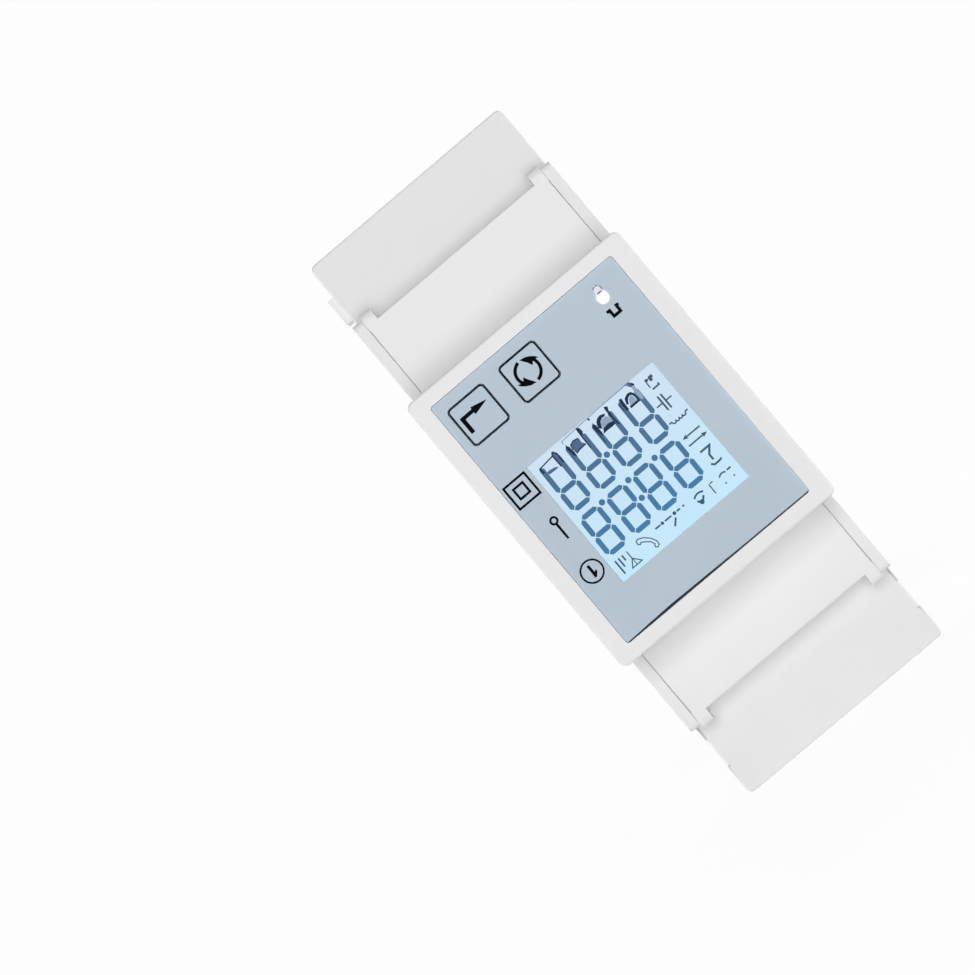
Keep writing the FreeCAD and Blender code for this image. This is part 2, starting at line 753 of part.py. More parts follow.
def make_rear_housing():
    """Rear moulding with the rail's seat, the fixed hook, the clip's channel and the bosses."""
    block = moulding("rear_block", sides(HALF_WIDTH), ("-foot_depth", "parting_reach"),
                     sides(HALF_LENGTH), "foot_corner")
    lap = box("lap", sides(f"{INNER_WIDTH} + lap_thickness"),
              ("rear_wall", "parting_reach + lap_depth"), sides(f"{INNER_LENGTH} + lap_thickness"))
    deep = (f"-{FOOT_FLOOR}", "rear_wall * 2")
    foot_near, foot_far = f"{RECESS} + wall", INNER_LENGTH
    rooms = [box("rear_room", sides(INNER_WIDTH),
                 ("rear_wall", "parting_reach + lap_depth * 2"), sides(INNER_LENGTH)),
             box("rail_room", sides(f"{HALF_WIDTH} + wall"), ("-foot_depth - wall", "seat_step"),
                 sides(RECESS)),
             box("top_foot_room", sides(INNER_WIDTH), deep, (foot_near, foot_far)),
             box("clip_channel", sides(CHANNEL), ("-foot_depth - wall", "0"),
                 (f"-({HALF_LENGTH} + wall)", f"-({RECESS} - wall)"))]
    for label, side in SIDES:
        rooms.append(box(f"{label}_foot_room", flank(side, f"{CHANNEL} + wall", INNER_WIDTH),
                         deep, (f"-({foot_far})", f"-({foot_near})")))
        for end in ENDS:
            tip = f"{SHELF_BASE} - tongue_length"
            rooms.append(box(f"{end.name}_{label}_window",
                             flank(side, f"{INNER_WIDTH} - wall", f"{HALF_WIDTH} + wall"),
                             (f"{tip} + nose_setback - snap_play",
                              f"{tip} + nose_setback + nose_height + snap_play"),
                             end.span("snap_near - snap_play", "snap_far + snap_play")))
    parts = [cut("rear_hollow", fused("rear_skin", block, lap), *rooms),
             box("rail_seat", sides(HALF_WIDTH), ("0", "rear_wall / 2"),
                 sides(f"{RAIL_EDGE} - seat_inset")),
             box("hook", sides(f"{HALF_WIDTH} - hook_inset"),
                 behind(HOOK_FRONT, f"{HOOK_FRONT} + hook_thickness"),
                 (f"{RAIL_EDGE} - hook_overlap", f"{RECESS} + wall")),
             box("spring_rib", sides("rib_width / 2"), behind("-rear_wall / 2", CLIP_BACK),
                 (f"-{RIB_FAR}", "-rib_near")),
             rod("rib_peg", "peg_radius", "0", f"-{CLIP_AXIS}",
                 (f"-{RIB_FAR} + rib_thickness / 2", "-rib_near + peg_length"))]
    for label, side in SIDES:
        parts.append(box(f"{label}_guide",
                         flank(side, f"{CHANNEL} - guide_overlap", f"{CHANNEL} + wall / 2"),
                         behind(f"{CLIP_BACK} + clip_gap", f"{CLIP_BACK} + clip_gap + guide_thickness"),
                         (f"-({HALF_LENGTH} - guide_inset)", f"-({foot_near})")))
    for number, (across, along) in enumerate(BOSSES, 1):
        parts.append(rod(f"boss_{number}", "boss_radius", across,
                         ("rear_wall / 2", BOARD_BACK), along))
    bores = [rod(f"boss_bore_{number}", "boss_screw_radius + thread_gap", across,
                 (f"{BOARD_FACE} - boss_screw_length - thread_gap", f"{BOARD_FACE} + wall"), along)
             for number, (across, along) in enumerate(BOSSES, 1)]
    keep(cut("rear_housing", fused("rear_solid", *parts), *bores), "rear_housing")


def make_cover(end):
    """Hinged terminal cover: a leaf, two knuckles at its outer corners and their pins."""
    leaf = moulding(f"{end.name}_leaf", sides(LEAF_WIDTH), (f"{COVER_FACE} - cover_thickness", COVER_FACE),
                    end.span(f"{HALF_CAP} + cover_gap", end.cover_edge), "cover_corner", "cover_rim")
    parts = [leaf]
    for label, side in SIDES:
        across = flank(side, f"{LEAF_WIDTH} - knuckle_width", LEAF_WIDTH)
        parts.append(rod(f"{end.name}_{label}_knuckle", "knuckle_radius", across,
                         PIN_REACH, end.at(end.axis)))
        parts.append(box(f"{end.name}_{label}_root", across, (PIN_REACH, COVER_FACE),
                         end.span(f"{end.cover_edge} - knuckle_radius / 2", end.axis)))
        parts.append(rod(f"{end.name}_{label}_pin", "pin_radius",
                         flank(side, f"{LEAF_WIDTH} - knuckle_width / 2",
                               f"{HALF_WIDTH} - pin_end_inset"), PIN_REACH, end.at(end.axis)))
    name = f"{end.name}_terminal_cover"
    keep(fused(name, *parts), name)


def make_clip():
    """Sprung rail clip: side profile with a ramped hook, a window for the spring and a pull slot."""
    body = doc.addObject("PartDesign::Body", "clip_blank")
    tip = f"-({RAIL_EDGE} - clip_overlap)"
    shoulder = f"-({RECESS} + clip_gap)"
    tail = f"-({HALF_LENGTH} - clip_tail_inset)"
    profile = [("clip_gap", tail), (CLIP_BACK, tail), (CLIP_BACK, f"{tip} - clip_ramp"),
               (f"{CLIP_BACK} - clip_ramp", tip), (HOOK_FRONT, tip), (HOOK_FRONT, shoulder),
               ("clip_gap", shoulder)]
    pad = padded(body, "YZ_Plane", "0", profile, "clip_width")
    pad.SideType = "Symmetric"
    doc.recompute()
    pocket(body, "spring_window", "0", f"{CLIP_BACK} * 2",
           rectangle(sides("window_width / 2"), (f"-({RIB_FAR} + spring_seat)", "-window_near")))
    pocket(body, "pull_slot", "0", f"{CLIP_BACK} * 2",
           rectangle(sides("pull_slot_width / 2"),
                     (f"{tail} + pull_slot_inset", f"{tail} + pull_slot_inset + pull_slot_height")))
    peg = rod("clip_peg", "peg_radius", "0", f"-{CLIP_AXIS}",
              ("-window_near - peg_length", "-window_near + peg_length / 2"))
    keep(fused("din_clip", body, peg), "din_clip")


def arc_between(start, heading, end):
    """Arc that leaves a point along a heading and ends at another point."""
    chord = end - start
    lean = heading.getAngle(chord)
    bow = heading - chord * (heading.dot(chord) / chord.dot(chord))
    bow.normalize()
    middle = (start + end) / 2 + bow * (chord.Length / 2 * math.tan(lean / 2))
    return Part.Arc(start, middle, end).toShape()


def coil_wire(radius, pitch, turns):
    """Helix about Z from the origin's level, as two tangent arcs for each quarter turn."""
    step = math.pi / 2
    rise = pitch / 4

    def point(turn):
        """Place on the helix after some quarter turns."""
        return Vector(radius * math.cos(step * turn), radius * math.sin(step * turn), rise * turn)

    def heading(turn):
        """Direction of the helix after some quarter turns."""
        way = Vector(-radius * math.sin(step * turn), radius * math.cos(step * turn), rise / step)
        return way.normalize()

    edges = []
    for turn in range(int(turns * 4)):
        start, end = point(turn), point(turn + 1)
        leaving, arriving = heading(turn), heading(turn + 1)
        chord, both = end - start, leaving + arriving
        spread = 2 * (1 - leaving.dot(arriving))
        reach = (math.sqrt(chord.dot(both) ** 2 + spread * chord.dot(chord)) - chord.dot(both)) / spread
        joint = (start + leaving * reach + end - arriving * reach) / 2
        edges.append(arc_between(start, leaving, joint))
        edges.append(arc_between(end, arriving * -1, joint))
    return Part.Wire(Part.__sortEdges__(edges)), point(0), heading(0)


def least_gap(points, wire_size, span):
    """Least space between a tube and itself, over points further apart along it than a span."""
    nearest = min(points[first].distanceToPoint(points[second])
                  for first in range(len(points)) for second in range(first + span, len(points)))
    return nearest - wire_size


def make_spring():
    """Coil spring between the clip and the rib; its size is read from the sheet."""
    sheet = doc.Sizes
    length = sheet.rib_near - sheet.window_near - 2 * sheet.spring_seat
    pitch = (length - sheet.spring_wire) / sheet.spring_turns
    path, start, heading = coil_wire(sheet.spring_radius, pitch, sheet.spring_turns)
    section = Part.Wire(Part.Circle(start, heading, sheet.spring_wire / 2).toShape())
    tube = path.makePipeShell([section], True, False)
    points = path.discretize(Number=POINTS_PER_TURN * int(sheet.spring_turns) + 1)
    gap = least_gap(points, sheet.spring_wire, POINTS_PER_TURN // 2)
    print(f"din_clip_spring: {sheet.spring_turns} turns, least gap {gap:.2f} mm")
    item = doc.addObject("Part::Feature", "din_clip_spring")
    item.Shape = tube
    item.Placement = Placement(Vector(), Rotation())
    bind(item, "Placement.Base.y", CLIP_AXIS)
    bind(item, "Placement.Base.z", "-rib_near + spring_seat + spring_wire / 2")
    keep(item, "din_clip_spring")


def make_faceplate():
    """Front plate with openings for the window, the keys and the light pipe."""
    plate = moulding("plate_blank", about("plate_x", f"{PLATE_WIDTH} / 2"), (PLATE_BACK, PLATE_FACE),
                     sides(f"{PLATE_LENGTH} / 2"), "plate_corner")
    through = (f"{PLATE_BACK} - wall", f"{PLATE_FACE} + wall")
    across, along = about("view_x", f"{VIEW_WIDTH} / 2"), about(VIEW_Z, f"{VIEW_LENGTH} / 2")
    keep(cut("faceplate", plate, box("window_hole", across, through, along),
             key_opening("enter_hole", ENTER_X, through),
             key_opening("cycle_hole", CYCLE_X, through),
             rod("pipe_hole", "pipe_radius + pipe_gap", LAMP_X, through, LAMP_Z)), "faceplate")
    keep(box("display_window", across, (PLATE_BACK, PLATE_FACE), along), "display_window")


def make_key(name, across):
    """Push key with a flange behind the floor, over the plunger of its switch."""
    pad = moulding(f"{name}_pad", about(across, "key_side / 2"), (KEY_BACK, PLATE_FACE),
                   about(KEY_Z, "key_side / 2"), "key_corner")
    flange = moulding(f"{name}_flange", about(across, "key_flange / 2"),
                      (KEY_BACK, f"{FLOOR_BACK} - key_play"), about(KEY_Z, "key_flange / 2"),
                      "key_corner")
    keep(fused(f"{name}_key", pad, flange), f"{name}_key")
    body = box(f"{name}_switch_block", about(across, "switch_side / 2"), (PANEL_FACE, SWITCH_TOP),
               about(KEY_Z, "switch_side / 2"))
    bore = rod(f"{name}_switch_bore", "plunger_radius + plunger_gap", across,
               (f"{SWITCH_TOP} - plunger_sunk - plunger_room", f"{SWITCH_TOP} + wall"), KEY_Z)
    leads = side_leads(f"{name}_switch", across, KEY_Z, "switch_side / 2", "switch_side / 4",
                       PANEL_FACE, 1)
    keep(cut(f"{name}_switch", fused(f"{name}_switch_body", body, *leads), bore), f"{name}_switch")
    plunger = rod(f"{name}_plunger", "plunger_radius", across,
                  (f"{SWITCH_TOP} - plunger_sunk", PLUNGER_TOP), KEY_Z)
    keep(plunger, f"{name}_plunger")


def side_leads(name, across, along, half, offset, face, way):
    """Four flat leads of a part that stands on a board face, two on each side."""
    reach = (face, f"{face} + lead_thickness") if way > 0 else (f"{face} - lead_thickness", face)
    return [box(f"{name}_lead_{label}_{row}",
                (f"({across}) + ({near})", f"({across}) + ({near}) + lead_reach * 1.5"), reach,
                about(f"{along} + {row} * {offset}", "lead_width / 2"))
            for label, near in (("left", f"-({half}) - lead_reach"),
                                ("right", f"({half}) - lead_reach / 2")) for row in (-1, 1)]


def make_lamp():
    """Pulse lamp on the display board and the clear pipe that brings its light to the plate."""
    outline = [("0", f"-{PANEL_FACE}"), ("lamp_rim", f"-{PANEL_FACE}"),
               ("lamp_rim", f"-({PANEL_FACE} + lamp_rim_height)"),
               ("lamp_radius", f"-({PANEL_FACE} + lamp_rim_height)"),
               ("lamp_radius", f"-{LAMP_TOP}"), ("0", f"-{LAMP_TOP}")]
    lamp = turned("pulse_lamp", LAMP_X, LAMP_Z, outline)
    doc.recompute()
    rounded(lamp, lamp.Tip, on_front(lamp.Tip.Shape), "lamp_dome")
    keep(lamp, "pulse_lamp")
    outline = headed(PIPE_BACK, FLOOR_BACK, PLATE_FACE, "pipe_flange_radius", "pipe_radius")
    keep(turned("pulse_light_pipe", LAMP_X, LAMP_Z, outline), "pulse_light_pipe")


def make_display():
    """Glass, its frame, light guide, backlights, contact strips and the display board."""
    long_pane = box("long_pane", about("view_x", GLASS_WIDTH), (GLASS_STEP, GLASS_FACE),
                    about(VIEW_Z, GLASS_LENGTH))
    short_pane = box("short_pane", about("view_x", GLASS_WIDTH), (GLASS_BACK, GLASS_STEP),
                     about(VIEW_Z, f"{GLASS_LENGTH} - glass_ledge"))
    keep(fused("lcd_glass", long_pane, short_pane), "lcd_glass")
    frame = moulding("frame_block", about("view_x", FRAME_WIDTH), (PANEL_FACE, GLASS_FACE),
                     about(VIEW_Z, FRAME_LENGTH), "plate_corner")
    guide_half = f"{GLASS_LENGTH} - glass_ledge - frame_wall"
    guide_span = about("view_x", f"{GLASS_WIDTH} - frame_wall"), about(VIEW_Z, guide_half)
    frame_rooms = [box("glass_room", about("view_x", f"{GLASS_WIDTH} + glass_fit"),
                       (GLASS_BACK, f"{GLASS_FACE} + wall"),
                       about(VIEW_Z, f"{GLASS_LENGTH} + glass_fit")),
                   box("guide_room", guide_span[0], (GUIDE_BACK, f"{GLASS_BACK} + wall"),
                       guide_span[1]),
                   box("backlight_room", about("view_x", BACKLIGHT_WIDTH),
                       (f"{PANEL_FACE} - wall", f"{GUIDE_BACK} + wall"),
                       about(VIEW_Z, BACKLIGHT_LENGTH))]
    strips = []
    for label, side in (("lower", -1), ("upper", 1)):
        middle = f"{VIEW_Z} + {side} * ({GLASS_LENGTH} - glass_ledge / 2)"
        frame_rooms.append(box(f"{label}_strip_room", about("view_x", f"{VIEW_WIDTH} / 2 + glass_fit"),
                               (f"{PANEL_FACE} - wall", f"{GLASS_BACK} + wall"),
                               about(middle, "zebra_width / 2 + glass_fit")))
        strips.append(box(f"{label}_strip", about("view_x", f"{VIEW_WIDTH} / 2"),
                          (PANEL_FACE, GLASS_STEP), about(middle, "zebra_width / 2")))
    keep(cut("lcd_frame", frame, *frame_rooms), "lcd_frame")
    keep(fused("zebra_strips", *strips), "zebra_strips")
    keep(box("lcd_light_guide", (f"{guide_span[0][0]} + guide_gap", f"{guide_span[0][1]} - guide_gap"),
             (GUIDE_BACK, f"{GLASS_BACK} - guide_gap"),
             (f"{guide_span[1][0]} + guide_gap", f"{guide_span[1][1]} - guide_gap")),
         "lcd_light_guide")
    lamps = [box(f"backlight_{number}",
                 about(f"view_x + {across} * ({BACKLIGHT_WIDTH} - backlight_inset_x)",
                       "backlight_length / 2"),
                 (PANEL_FACE, f"{PANEL_FACE} + backlight_height"),
                 about(f"{VIEW_Z} + {along} * ({BACKLIGHT_LENGTH} - backlight_inset_z)",
                       "backlight_width / 2"))
             for number, (across, along) in enumerate(((-1, -1), (1, -1), (-1, 1), (1, 1)), 1)]
    keep(fused("lcd_backlights", *lamps), "lcd_backlights")
    board = box("panel_blank", sides(PANEL_WIDTH), (PANEL_BACK, PANEL_FACE), sides(PANEL_LENGTH))
    holes = [rod(f"panel_hole_{number}", "post_screw_radius + pin_hole_gap", across,
                 (f"{PANEL_BACK} - wall", f"{PANEL_FACE} + wall"), along)
             for number, (across, along) in enumerate(POSTS, 1)]
    keep(cut("display_board", board, *holes), "display_board")
    screws = [turned(f"post_screw_{number}", across, along,
                     headed(f"{PANEL_BACK} + post_screw_length", PANEL_BACK,
                            f"{PANEL_BACK} - post_head_height",
                            "post_screw_radius", "post_screw_head"))
              for number, (across, along) in enumerate(POSTS, 1)]
    keep(fused("display_board_screws", *screws), "display_board_screws")
    chip = box("controller_chip", sides("controller_side / 2"),
               (f"{PANEL_BACK} - controller_height", f"{PANEL_BACK}"),
               about("controller_z", "controller_side / 2"))
    leads = side_leads("controller", "0", "controller_z", "controller_side / 2",
                       "controller_side / 4", PANEL_BACK, -1)
    keep(fused("display_controller", chip, *leads), "display_controller")


def make_block(end):
    """Moulded terminal block: four screw wells, cage cavities, wire funnels and bar slots."""
    high = box(f"{end.name}_block_high", sides(BLOCK_WIDTH), (BOARD_FACE, BLOCK_TOP),
               end.span("block_near", f"{end.step} - wall - block_gap"))
    low = box(f"{end.name}_block_low", sides(BLOCK_WIDTH),
              (BOARD_FACE, f"{HOOD_FACE} - wall - block_gap"), end.span("screw_place", "block_far"))
    block = fused(f"{end.name}_block", high, low)
    cavity_half = "cage_length / 2 + cage_side_gap"
    tools = []
    for number, column in enumerate(COLUMNS, 1):
        tools += [rod(f"{end.name}_well_{number}", "access_radius", column,
                      (SHOULDER_TOP, f"{BLOCK_TOP} + wall"), end.at("screw_place")),
                  rod(f"{end.name}_bore_{number}", "shank_radius + shank_gap", column,
                      (f"{CAVITY_TOP} - wall", f"{SHOULDER_TOP} + wall"), end.at("screw_place")),
                  box(f"{end.name}_cavity_{number}",
                      about(column, f"{CELL_WIDTH} / 2"), (CAVITY_BASE, CAVITY_TOP),
                      about(end.at("screw_place"), cavity_half)),
                  box(f"{end.name}_funnel_{number}", about(column, f"{FUNNEL_WIDTH} / 2"),
                      (WIRE_BASE, BAR_BASE), end.span("screw_place", "block_far + wall")),
                  box(f"{end.name}_bar_slot_{number}", about(column, f"{BAR_WIDTH} / 2 + bar_gap"),
                      (f"{BAR_BASE} - bar_gap", f"{BAR_TOP} + bar_gap"),
                      end.span("block_near - wall", f"screw_place + {cavity_half} + bar_rest + bar_gap"))]
    name = f"{end.name}_terminal_block"
    keep(cut(name, block, *tools), name)


def make_contacts(end):
    """Four tinned contacts: a bar through each cage, a tail and a pin into the board."""
    parts = []
    tail = end.span(TAIL_NEAR, TAIL_FAR)
    for number, column in enumerate(COLUMNS, 1):
        name = f"{end.name}_contact_{number}"
        parts += [box(name + "_bar", about(column, f"{BAR_WIDTH} / 2"), (BAR_BASE, BAR_TOP),
                      end.span(TAIL_NEAR, "screw_place + cage_length / 2 + cage_side_gap + bar_rest")),
                  box(name + "_tail", about(column, f"{BAR_WIDTH} / 2"),
                      (f"{BOARD_FACE} + tail_stand", BAR_TOP), tail),
                  box(name + "_pin", about(column, "tail_pin_width / 2"),
                      (f"{BOARD_BACK} - tail_pin_length", f"{BOARD_FACE} + tail_stand * 2"), tail)]
    name = f"{end.name}_terminal_contacts"
    keep(fused(name, *parts), name)


def make_clamp(end, number, column):
    """Terminal screw and the cage that it raises."""
    name = f"{end.name}_screw_{number}"
    screw = turned(name, column, end.at("screw_place"),
                   headed(f"{BAR_TOP} + tip_gap", SHOULDER_TOP, HEAD_TOP,
                          "shank_radius", "head_radius"))
    doc.recompute()
    pocket(screw, name + "_slot", HEAD_TOP, "head_slot_depth",
           rectangle(sides("head_radius + wall"), sides("head_slot_width / 2")))
    pocket(screw, name + "_cross", HEAD_TOP, "head_slot_depth",
           rectangle(sides("head_slot_width / 2"), sides("head_cross_length / 2")))
    keep(screw, name)
    middle = end.at("screw_place")
    cage = box(f"{end.name}_cage_block_{number}", about(column, f"{CAGE_WIDTH} / 2"),
               (CAGE_BASE, CAGE_TOP), about(middle, "cage_length / 2"))
    window = box(f"{end.name}_cage_window_{number}", about(column, f"{CAGE_WINDOW} / 2"),
                 (WIRE_BASE, CAGE_ROOF), about(middle, "cage_length"))
    thread = rod(f"{end.name}_cage_thread_{number}", "shank_radius + thread_gap", column,
                 (f"{CAGE_ROOF} - wall / 2", f"{CAGE_TOP} + wall"), middle)
    keep(cut(f"{end.name}_cage_{number}", cage, window, thread), f"{end.name}_cage_{number}")


def make_main_board():
    """Main board with its screw holes and slots for the contact pins, and its four screws."""
    board = box("board_blank", sides(BOARD_WIDTH), (BOARD_BACK, BOARD_FACE), sides(BOARD_LENGTH))
    through = (f"{BOARD_BACK} - wall", f"{BOARD_FACE} + wall")
    holes = [rod(f"board_hole_{number}", "boss_screw_radius + screw_hole_gap", across, through, along)
             for number, (across, along) in enumerate(BOSSES, 1)]
    holes += [box(f"{end.name}_pin_slot_{number}",
                  about(column, "tail_pin_width / 2 + pin_hole_gap"), through,
                  end.span(f"{TAIL_NEAR} - pin_hole_gap", f"{TAIL_FAR} + pin_hole_gap"))
              for end in ENDS for number, column in enumerate(COLUMNS, 1)]
    keep(cut("main_board", board, *holes), "main_board")
    screws = [turned(f"board_screw_{number}", across, along,
                     headed(f"{BOARD_FACE} - boss_screw_length", BOARD_FACE,
                            f"{BOARD_FACE} + boss_head_height",
                            "boss_screw_radius", "boss_head_radius"))
              for number, (across, along) in enumerate(BOSSES, 1)]
    keep(fused("main_board_screws", *screws), "main_board_screws")


def make_signal_parts():
    """Header, chips, crystal, couplers and divider on the front of the main board."""
    base = box("header_base", sides("header_width / 2"), (BOARD_FACE, f"{BOARD_FACE} + header_height"),
               about("header_z", "header_depth / 2"))
    pins = [box(f"header_pin_{column}_{row}", about(f"{column - 2} * header_pitch", "header_pin / 2"),
                (f"{BOARD_FACE} + header_height / 2", PANEL_BACK),
                about(f"header_z + {row - 0.5} * header_pitch", "header_pin / 2"))
            for column in range(5) for row in range(2)]
    keep(fused("board_header", base, *pins), "board_header")
    keep(chip_on_board("metering", "0", "meter_chip_z", "meter_chip_side", "meter_chip_side",
                       "meter_chip_height"), "metering_chip")
    can = moulding("crystal_can", about(CRYSTAL_X, "crystal_width / 2"),
                   (BOARD_FACE, f"{BOARD_FACE} + crystal_height"),
                   about("crystal_z", "crystal_length / 2"), "crystal_width / 2 - lead_thickness")
    keep(can, "quartz_crystal")
    keep(chip_on_board("driver", DRIVER_X, "driver_z", "driver_width", "driver_length",
                       "driver_height"), "serial_driver")
    couplers = [chip_on_board(f"coupler_{number}", COUPLER_X, f"coupler_z - {number} * coupler_pitch",
                              "coupler_width", "coupler_length", "coupler_height")
                for number in range(2)]
    keep(fused("optocouplers", *couplers), "optocouplers")
    resistors = [rod(f"divider_{number}", "divider_radius", f"{number - 1.5} * divider_pitch",
                     f"{BOARD_FACE} + divider_radius", about("divider_z", "divider_length / 2"))
                 for number in range(4)]
    keep(fused("divider_resistors", *resistors), "divider_resistors")


def chip_on_board(name, across, along, width, length, height):
    """Chip with four leads on the front of the main board."""
    body = box(f"{name}_body", about(across, f"{width} / 2"), (BOARD_FACE, f"{BOARD_FACE} + {height}"),
               about(along, f"{length} / 2"))
    leads = side_leads(name, across, along, f"{width} / 2", f"{length} / 4", BOARD_FACE, 1)
    return fused(f"{name}_chip", body, *leads)


def make_mains_parts():
    """Supply and protection parts on the back of the main board."""
    core = box("transformer_core", about("transformer_x", "transformer_width / 2"),
               (TRANSFORMER_BACK, f"{BOARD_BACK} - lead_stand"),
               about("transformer_z", "transformer_length / 2"))
    bobbin = box("transformer_bobbin", about("transformer_x", "bobbin_width / 2"),
                 (f"{TRANSFORMER_BACK} + bobbin_drop", BOARD_BACK),
                 about("transformer_z", "transformer_length / 2 + bobbin_overhang"))
    keep(fused("supply_transformer", core, bobbin), "supply_transformer")
    can = turned("buffer_capacitor", BUFFER_X, "buffer_z",
                 [("0", f"-{BUFFER_BACK}"), ("buffer_radius", f"-{BUFFER_BACK}"),
                  ("buffer_radius", f"-{BOARD_BACK}"), ("0", f"-{BOARD_BACK}")])
    doc.recompute()
    rounded(can, can.Tip, lambda edge: edge.BoundBox.YLength < 1e-6 and edge.Length > 1, "buffer_round")
    keep(can, "buffer_capacitor")
    keep(moulding("mains_capacitor", about(FILM_X, "film_width / 2"), (FILM_BACK, BOARD_BACK),
                  about("film_z", "film_length / 2"),
                  "film_corner"), "mains_capacitor")
    disc_reach = f"{BOARD_BACK} - lead_stand - varistor_radius"
    disc = rod("varistor_disc", "varistor_radius", VARISTOR_X, disc_reach,
               about("varistor_z", "varistor_thickness / 2"))
    legs = [rod(f"varistor_leg_{number}", "lead_radius", f"{VARISTOR_X} + {side} * varistor_radius / 2",
                (disc_reach, BOARD_BACK), "varistor_z") for number, side in enumerate((-1, 1), 1)]
    keep(fused("varistor", disc, *legs), "varistor")
    resistor_reach = f"{BOARD_BACK} - resistor_radius"
    lead_end = "resistor_length / 2 + resistor_overhang"
    parts = [rod("resistor_body", "resistor_radius", about("resistor_x", "resistor_length / 2"),
                 resistor_reach, "resistor_z"),
             rod("resistor_lead", "lead_radius", about("resistor_x", lead_end),
                 resistor_reach, "resistor_z")]
    parts += [box(f"resistor_leg_{number}",
                  about(f"resistor_x + {side} * ({lead_end})", "lead_radius * 1.5"),
                  (f"{resistor_reach} - lead_radius * 1.5", BOARD_BACK),
                  about("resistor_z", "lead_radius * 1.5"))
              for number, side in enumerate((-1, 1), 1)]
    keep(fused("fusible_resistor", *parts), "fusible_resistor")
    rim_top = f"-({BOARD_BACK} - choke_rim)"
    low_rim = f"-({BOARD_BACK} - choke_height + choke_rim)"
    foot = f"-({BOARD_BACK} - choke_height)"
    keep(turned("supply_choke", CHOKE_X, "choke_z",
                [("0", f"-{BOARD_BACK}"), ("choke_radius", f"-{BOARD_BACK}"),
                 ("choke_radius", rim_top), ("choke_core", rim_top), ("choke_core", low_rim),
                 ("choke_radius", low_rim), ("choke_radius", foot), ("0", foot)]), "supply_choke")
    bridge = box("bridge_body", sides("bridge_width / 2"),
                 (f"{BOARD_BACK} - bridge_height", BOARD_BACK), about("bridge_z", "bridge_length / 2"))
    leads = side_leads("bridge", "0", "bridge_z", "bridge_width / 2", "bridge_length / 4",
                       BOARD_BACK, -1)
    keep(fused("bridge_rectifier", bridge, *leads), "bridge_rectifier")


def build():
    """Make every sub-part."""
    fill_sheet()
    make_rear_housing()
    make_front_housing()
    make_clip()
    make_spring()
    make_faceplate()
    make_display()
    make_key("enter", ENTER_X)
    make_key("cycle", CYCLE_X)
    make_lamp()
    for end in ENDS:
        make_cover(end)
        make_block(end)
        make_contacts(end)
        for number, column in enumerate(COLUMNS, 1):
            make_clamp(end, number, column)
    make_main_board()
    make_signal_parts()
    make_mains_parts()
    doc.recompute()


def check():
    """Stop if any object failed or any sub-part's shape is missing or broken."""
    for item in doc.Objects:
        if "Invalid" in item.State or "Error" in item.State:
            raise RuntimeError(f"{item.Name} failed: {item.State}")
    for item in nodes:
        if item.Shape.isNull() or not item.Shape.isValid() or item.Shape.Volume <= 0:
            raise RuntimeError(f"{item.Label} has no valid shape")


def write():
    """Write each sub-part to its own STEP file."""
    os.makedirs("parts", exist_ok=True)
    for item in nodes:
        item.Shape.exportStep(os.path.join("parts", item.Label + ".step"))
    print(f"{len(nodes)} sub-parts written")


build()
check()
write()
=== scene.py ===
"""DIN rail energy meter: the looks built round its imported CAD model.

X runs across the width, Z up to the top terminals and the front faces -Y.
Sizes are millimetres in the frame of the CAD until a mesh is finished.
"""

import logging
import math
from collections.abc import Iterable
from dataclasses import dataclass, field
from enum import Enum

import bmesh
import bpy
from bmesh.types import BMEdge, BMesh as Shape, BMFace, BMVert
from bpy.types import Material, Node, NodeSocket as Socket, Object as Piece, World
from mathutils import Matrix, Vector


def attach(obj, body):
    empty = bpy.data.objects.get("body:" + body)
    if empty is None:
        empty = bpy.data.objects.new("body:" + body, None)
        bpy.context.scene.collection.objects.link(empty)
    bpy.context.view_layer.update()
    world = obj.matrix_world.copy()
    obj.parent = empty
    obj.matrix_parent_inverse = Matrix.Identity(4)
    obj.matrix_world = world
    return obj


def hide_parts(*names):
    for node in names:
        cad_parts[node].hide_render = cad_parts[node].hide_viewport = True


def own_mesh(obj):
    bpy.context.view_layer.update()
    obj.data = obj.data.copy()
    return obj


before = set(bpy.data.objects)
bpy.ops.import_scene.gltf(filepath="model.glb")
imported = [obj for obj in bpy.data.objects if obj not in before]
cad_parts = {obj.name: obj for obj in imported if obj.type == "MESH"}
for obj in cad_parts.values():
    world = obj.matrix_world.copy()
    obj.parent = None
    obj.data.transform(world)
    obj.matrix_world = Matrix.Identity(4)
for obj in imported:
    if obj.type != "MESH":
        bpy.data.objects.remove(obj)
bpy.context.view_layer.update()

log = logging.getLogger("meter")

MM = 0.001
# Points of one mesh that are nearer than this many millimetres are one point
MERGE = 0.001
# The flow marks' noise hardly leaves this span
FLOW_SPAN = {"From Min": 0.3, "From Max": 0.7}
COAT_ROUGHNESS = 0.1
# Inputs and output of a Mix node that mixes colours
MIX_FROM, MIX_TO, MIX_RESULT = 6, 7, 2
Point = tuple[float, float]
Triple = tuple[float, float, float]
Colour = tuple[float, float, float, float]


class Body(str, Enum):
    """The CAD bodies that new pieces ride on."""

    CASE = "case"
    TOP_COVER = "top_cover"
    BOTTOM_COVER = "bottom_cover"
    CLIP = "clip"
    ENTER_KEY = "enter_key"
    CYCLE_KEY = "cycle_key"


# Finishes

def linear(hex_colour: str) -> Colour:
    """Turn an sRGB hex value to the linear colour that shaders take.

    Args:
        hex_colour: six hex digits after a hash sign.

    Returns:
        Red, green, blue and an alpha of 1.
    """
    parts = [int(hex_colour[place:place + 2], 16) / 255 for place in (1, 3, 5)]
    red, green, blue = (part / 12.92 if part <= 0.04045 else ((part + 0.055) / 1.055) ** 2.4
                        for part in parts)
    return red, green, blue, 1.0


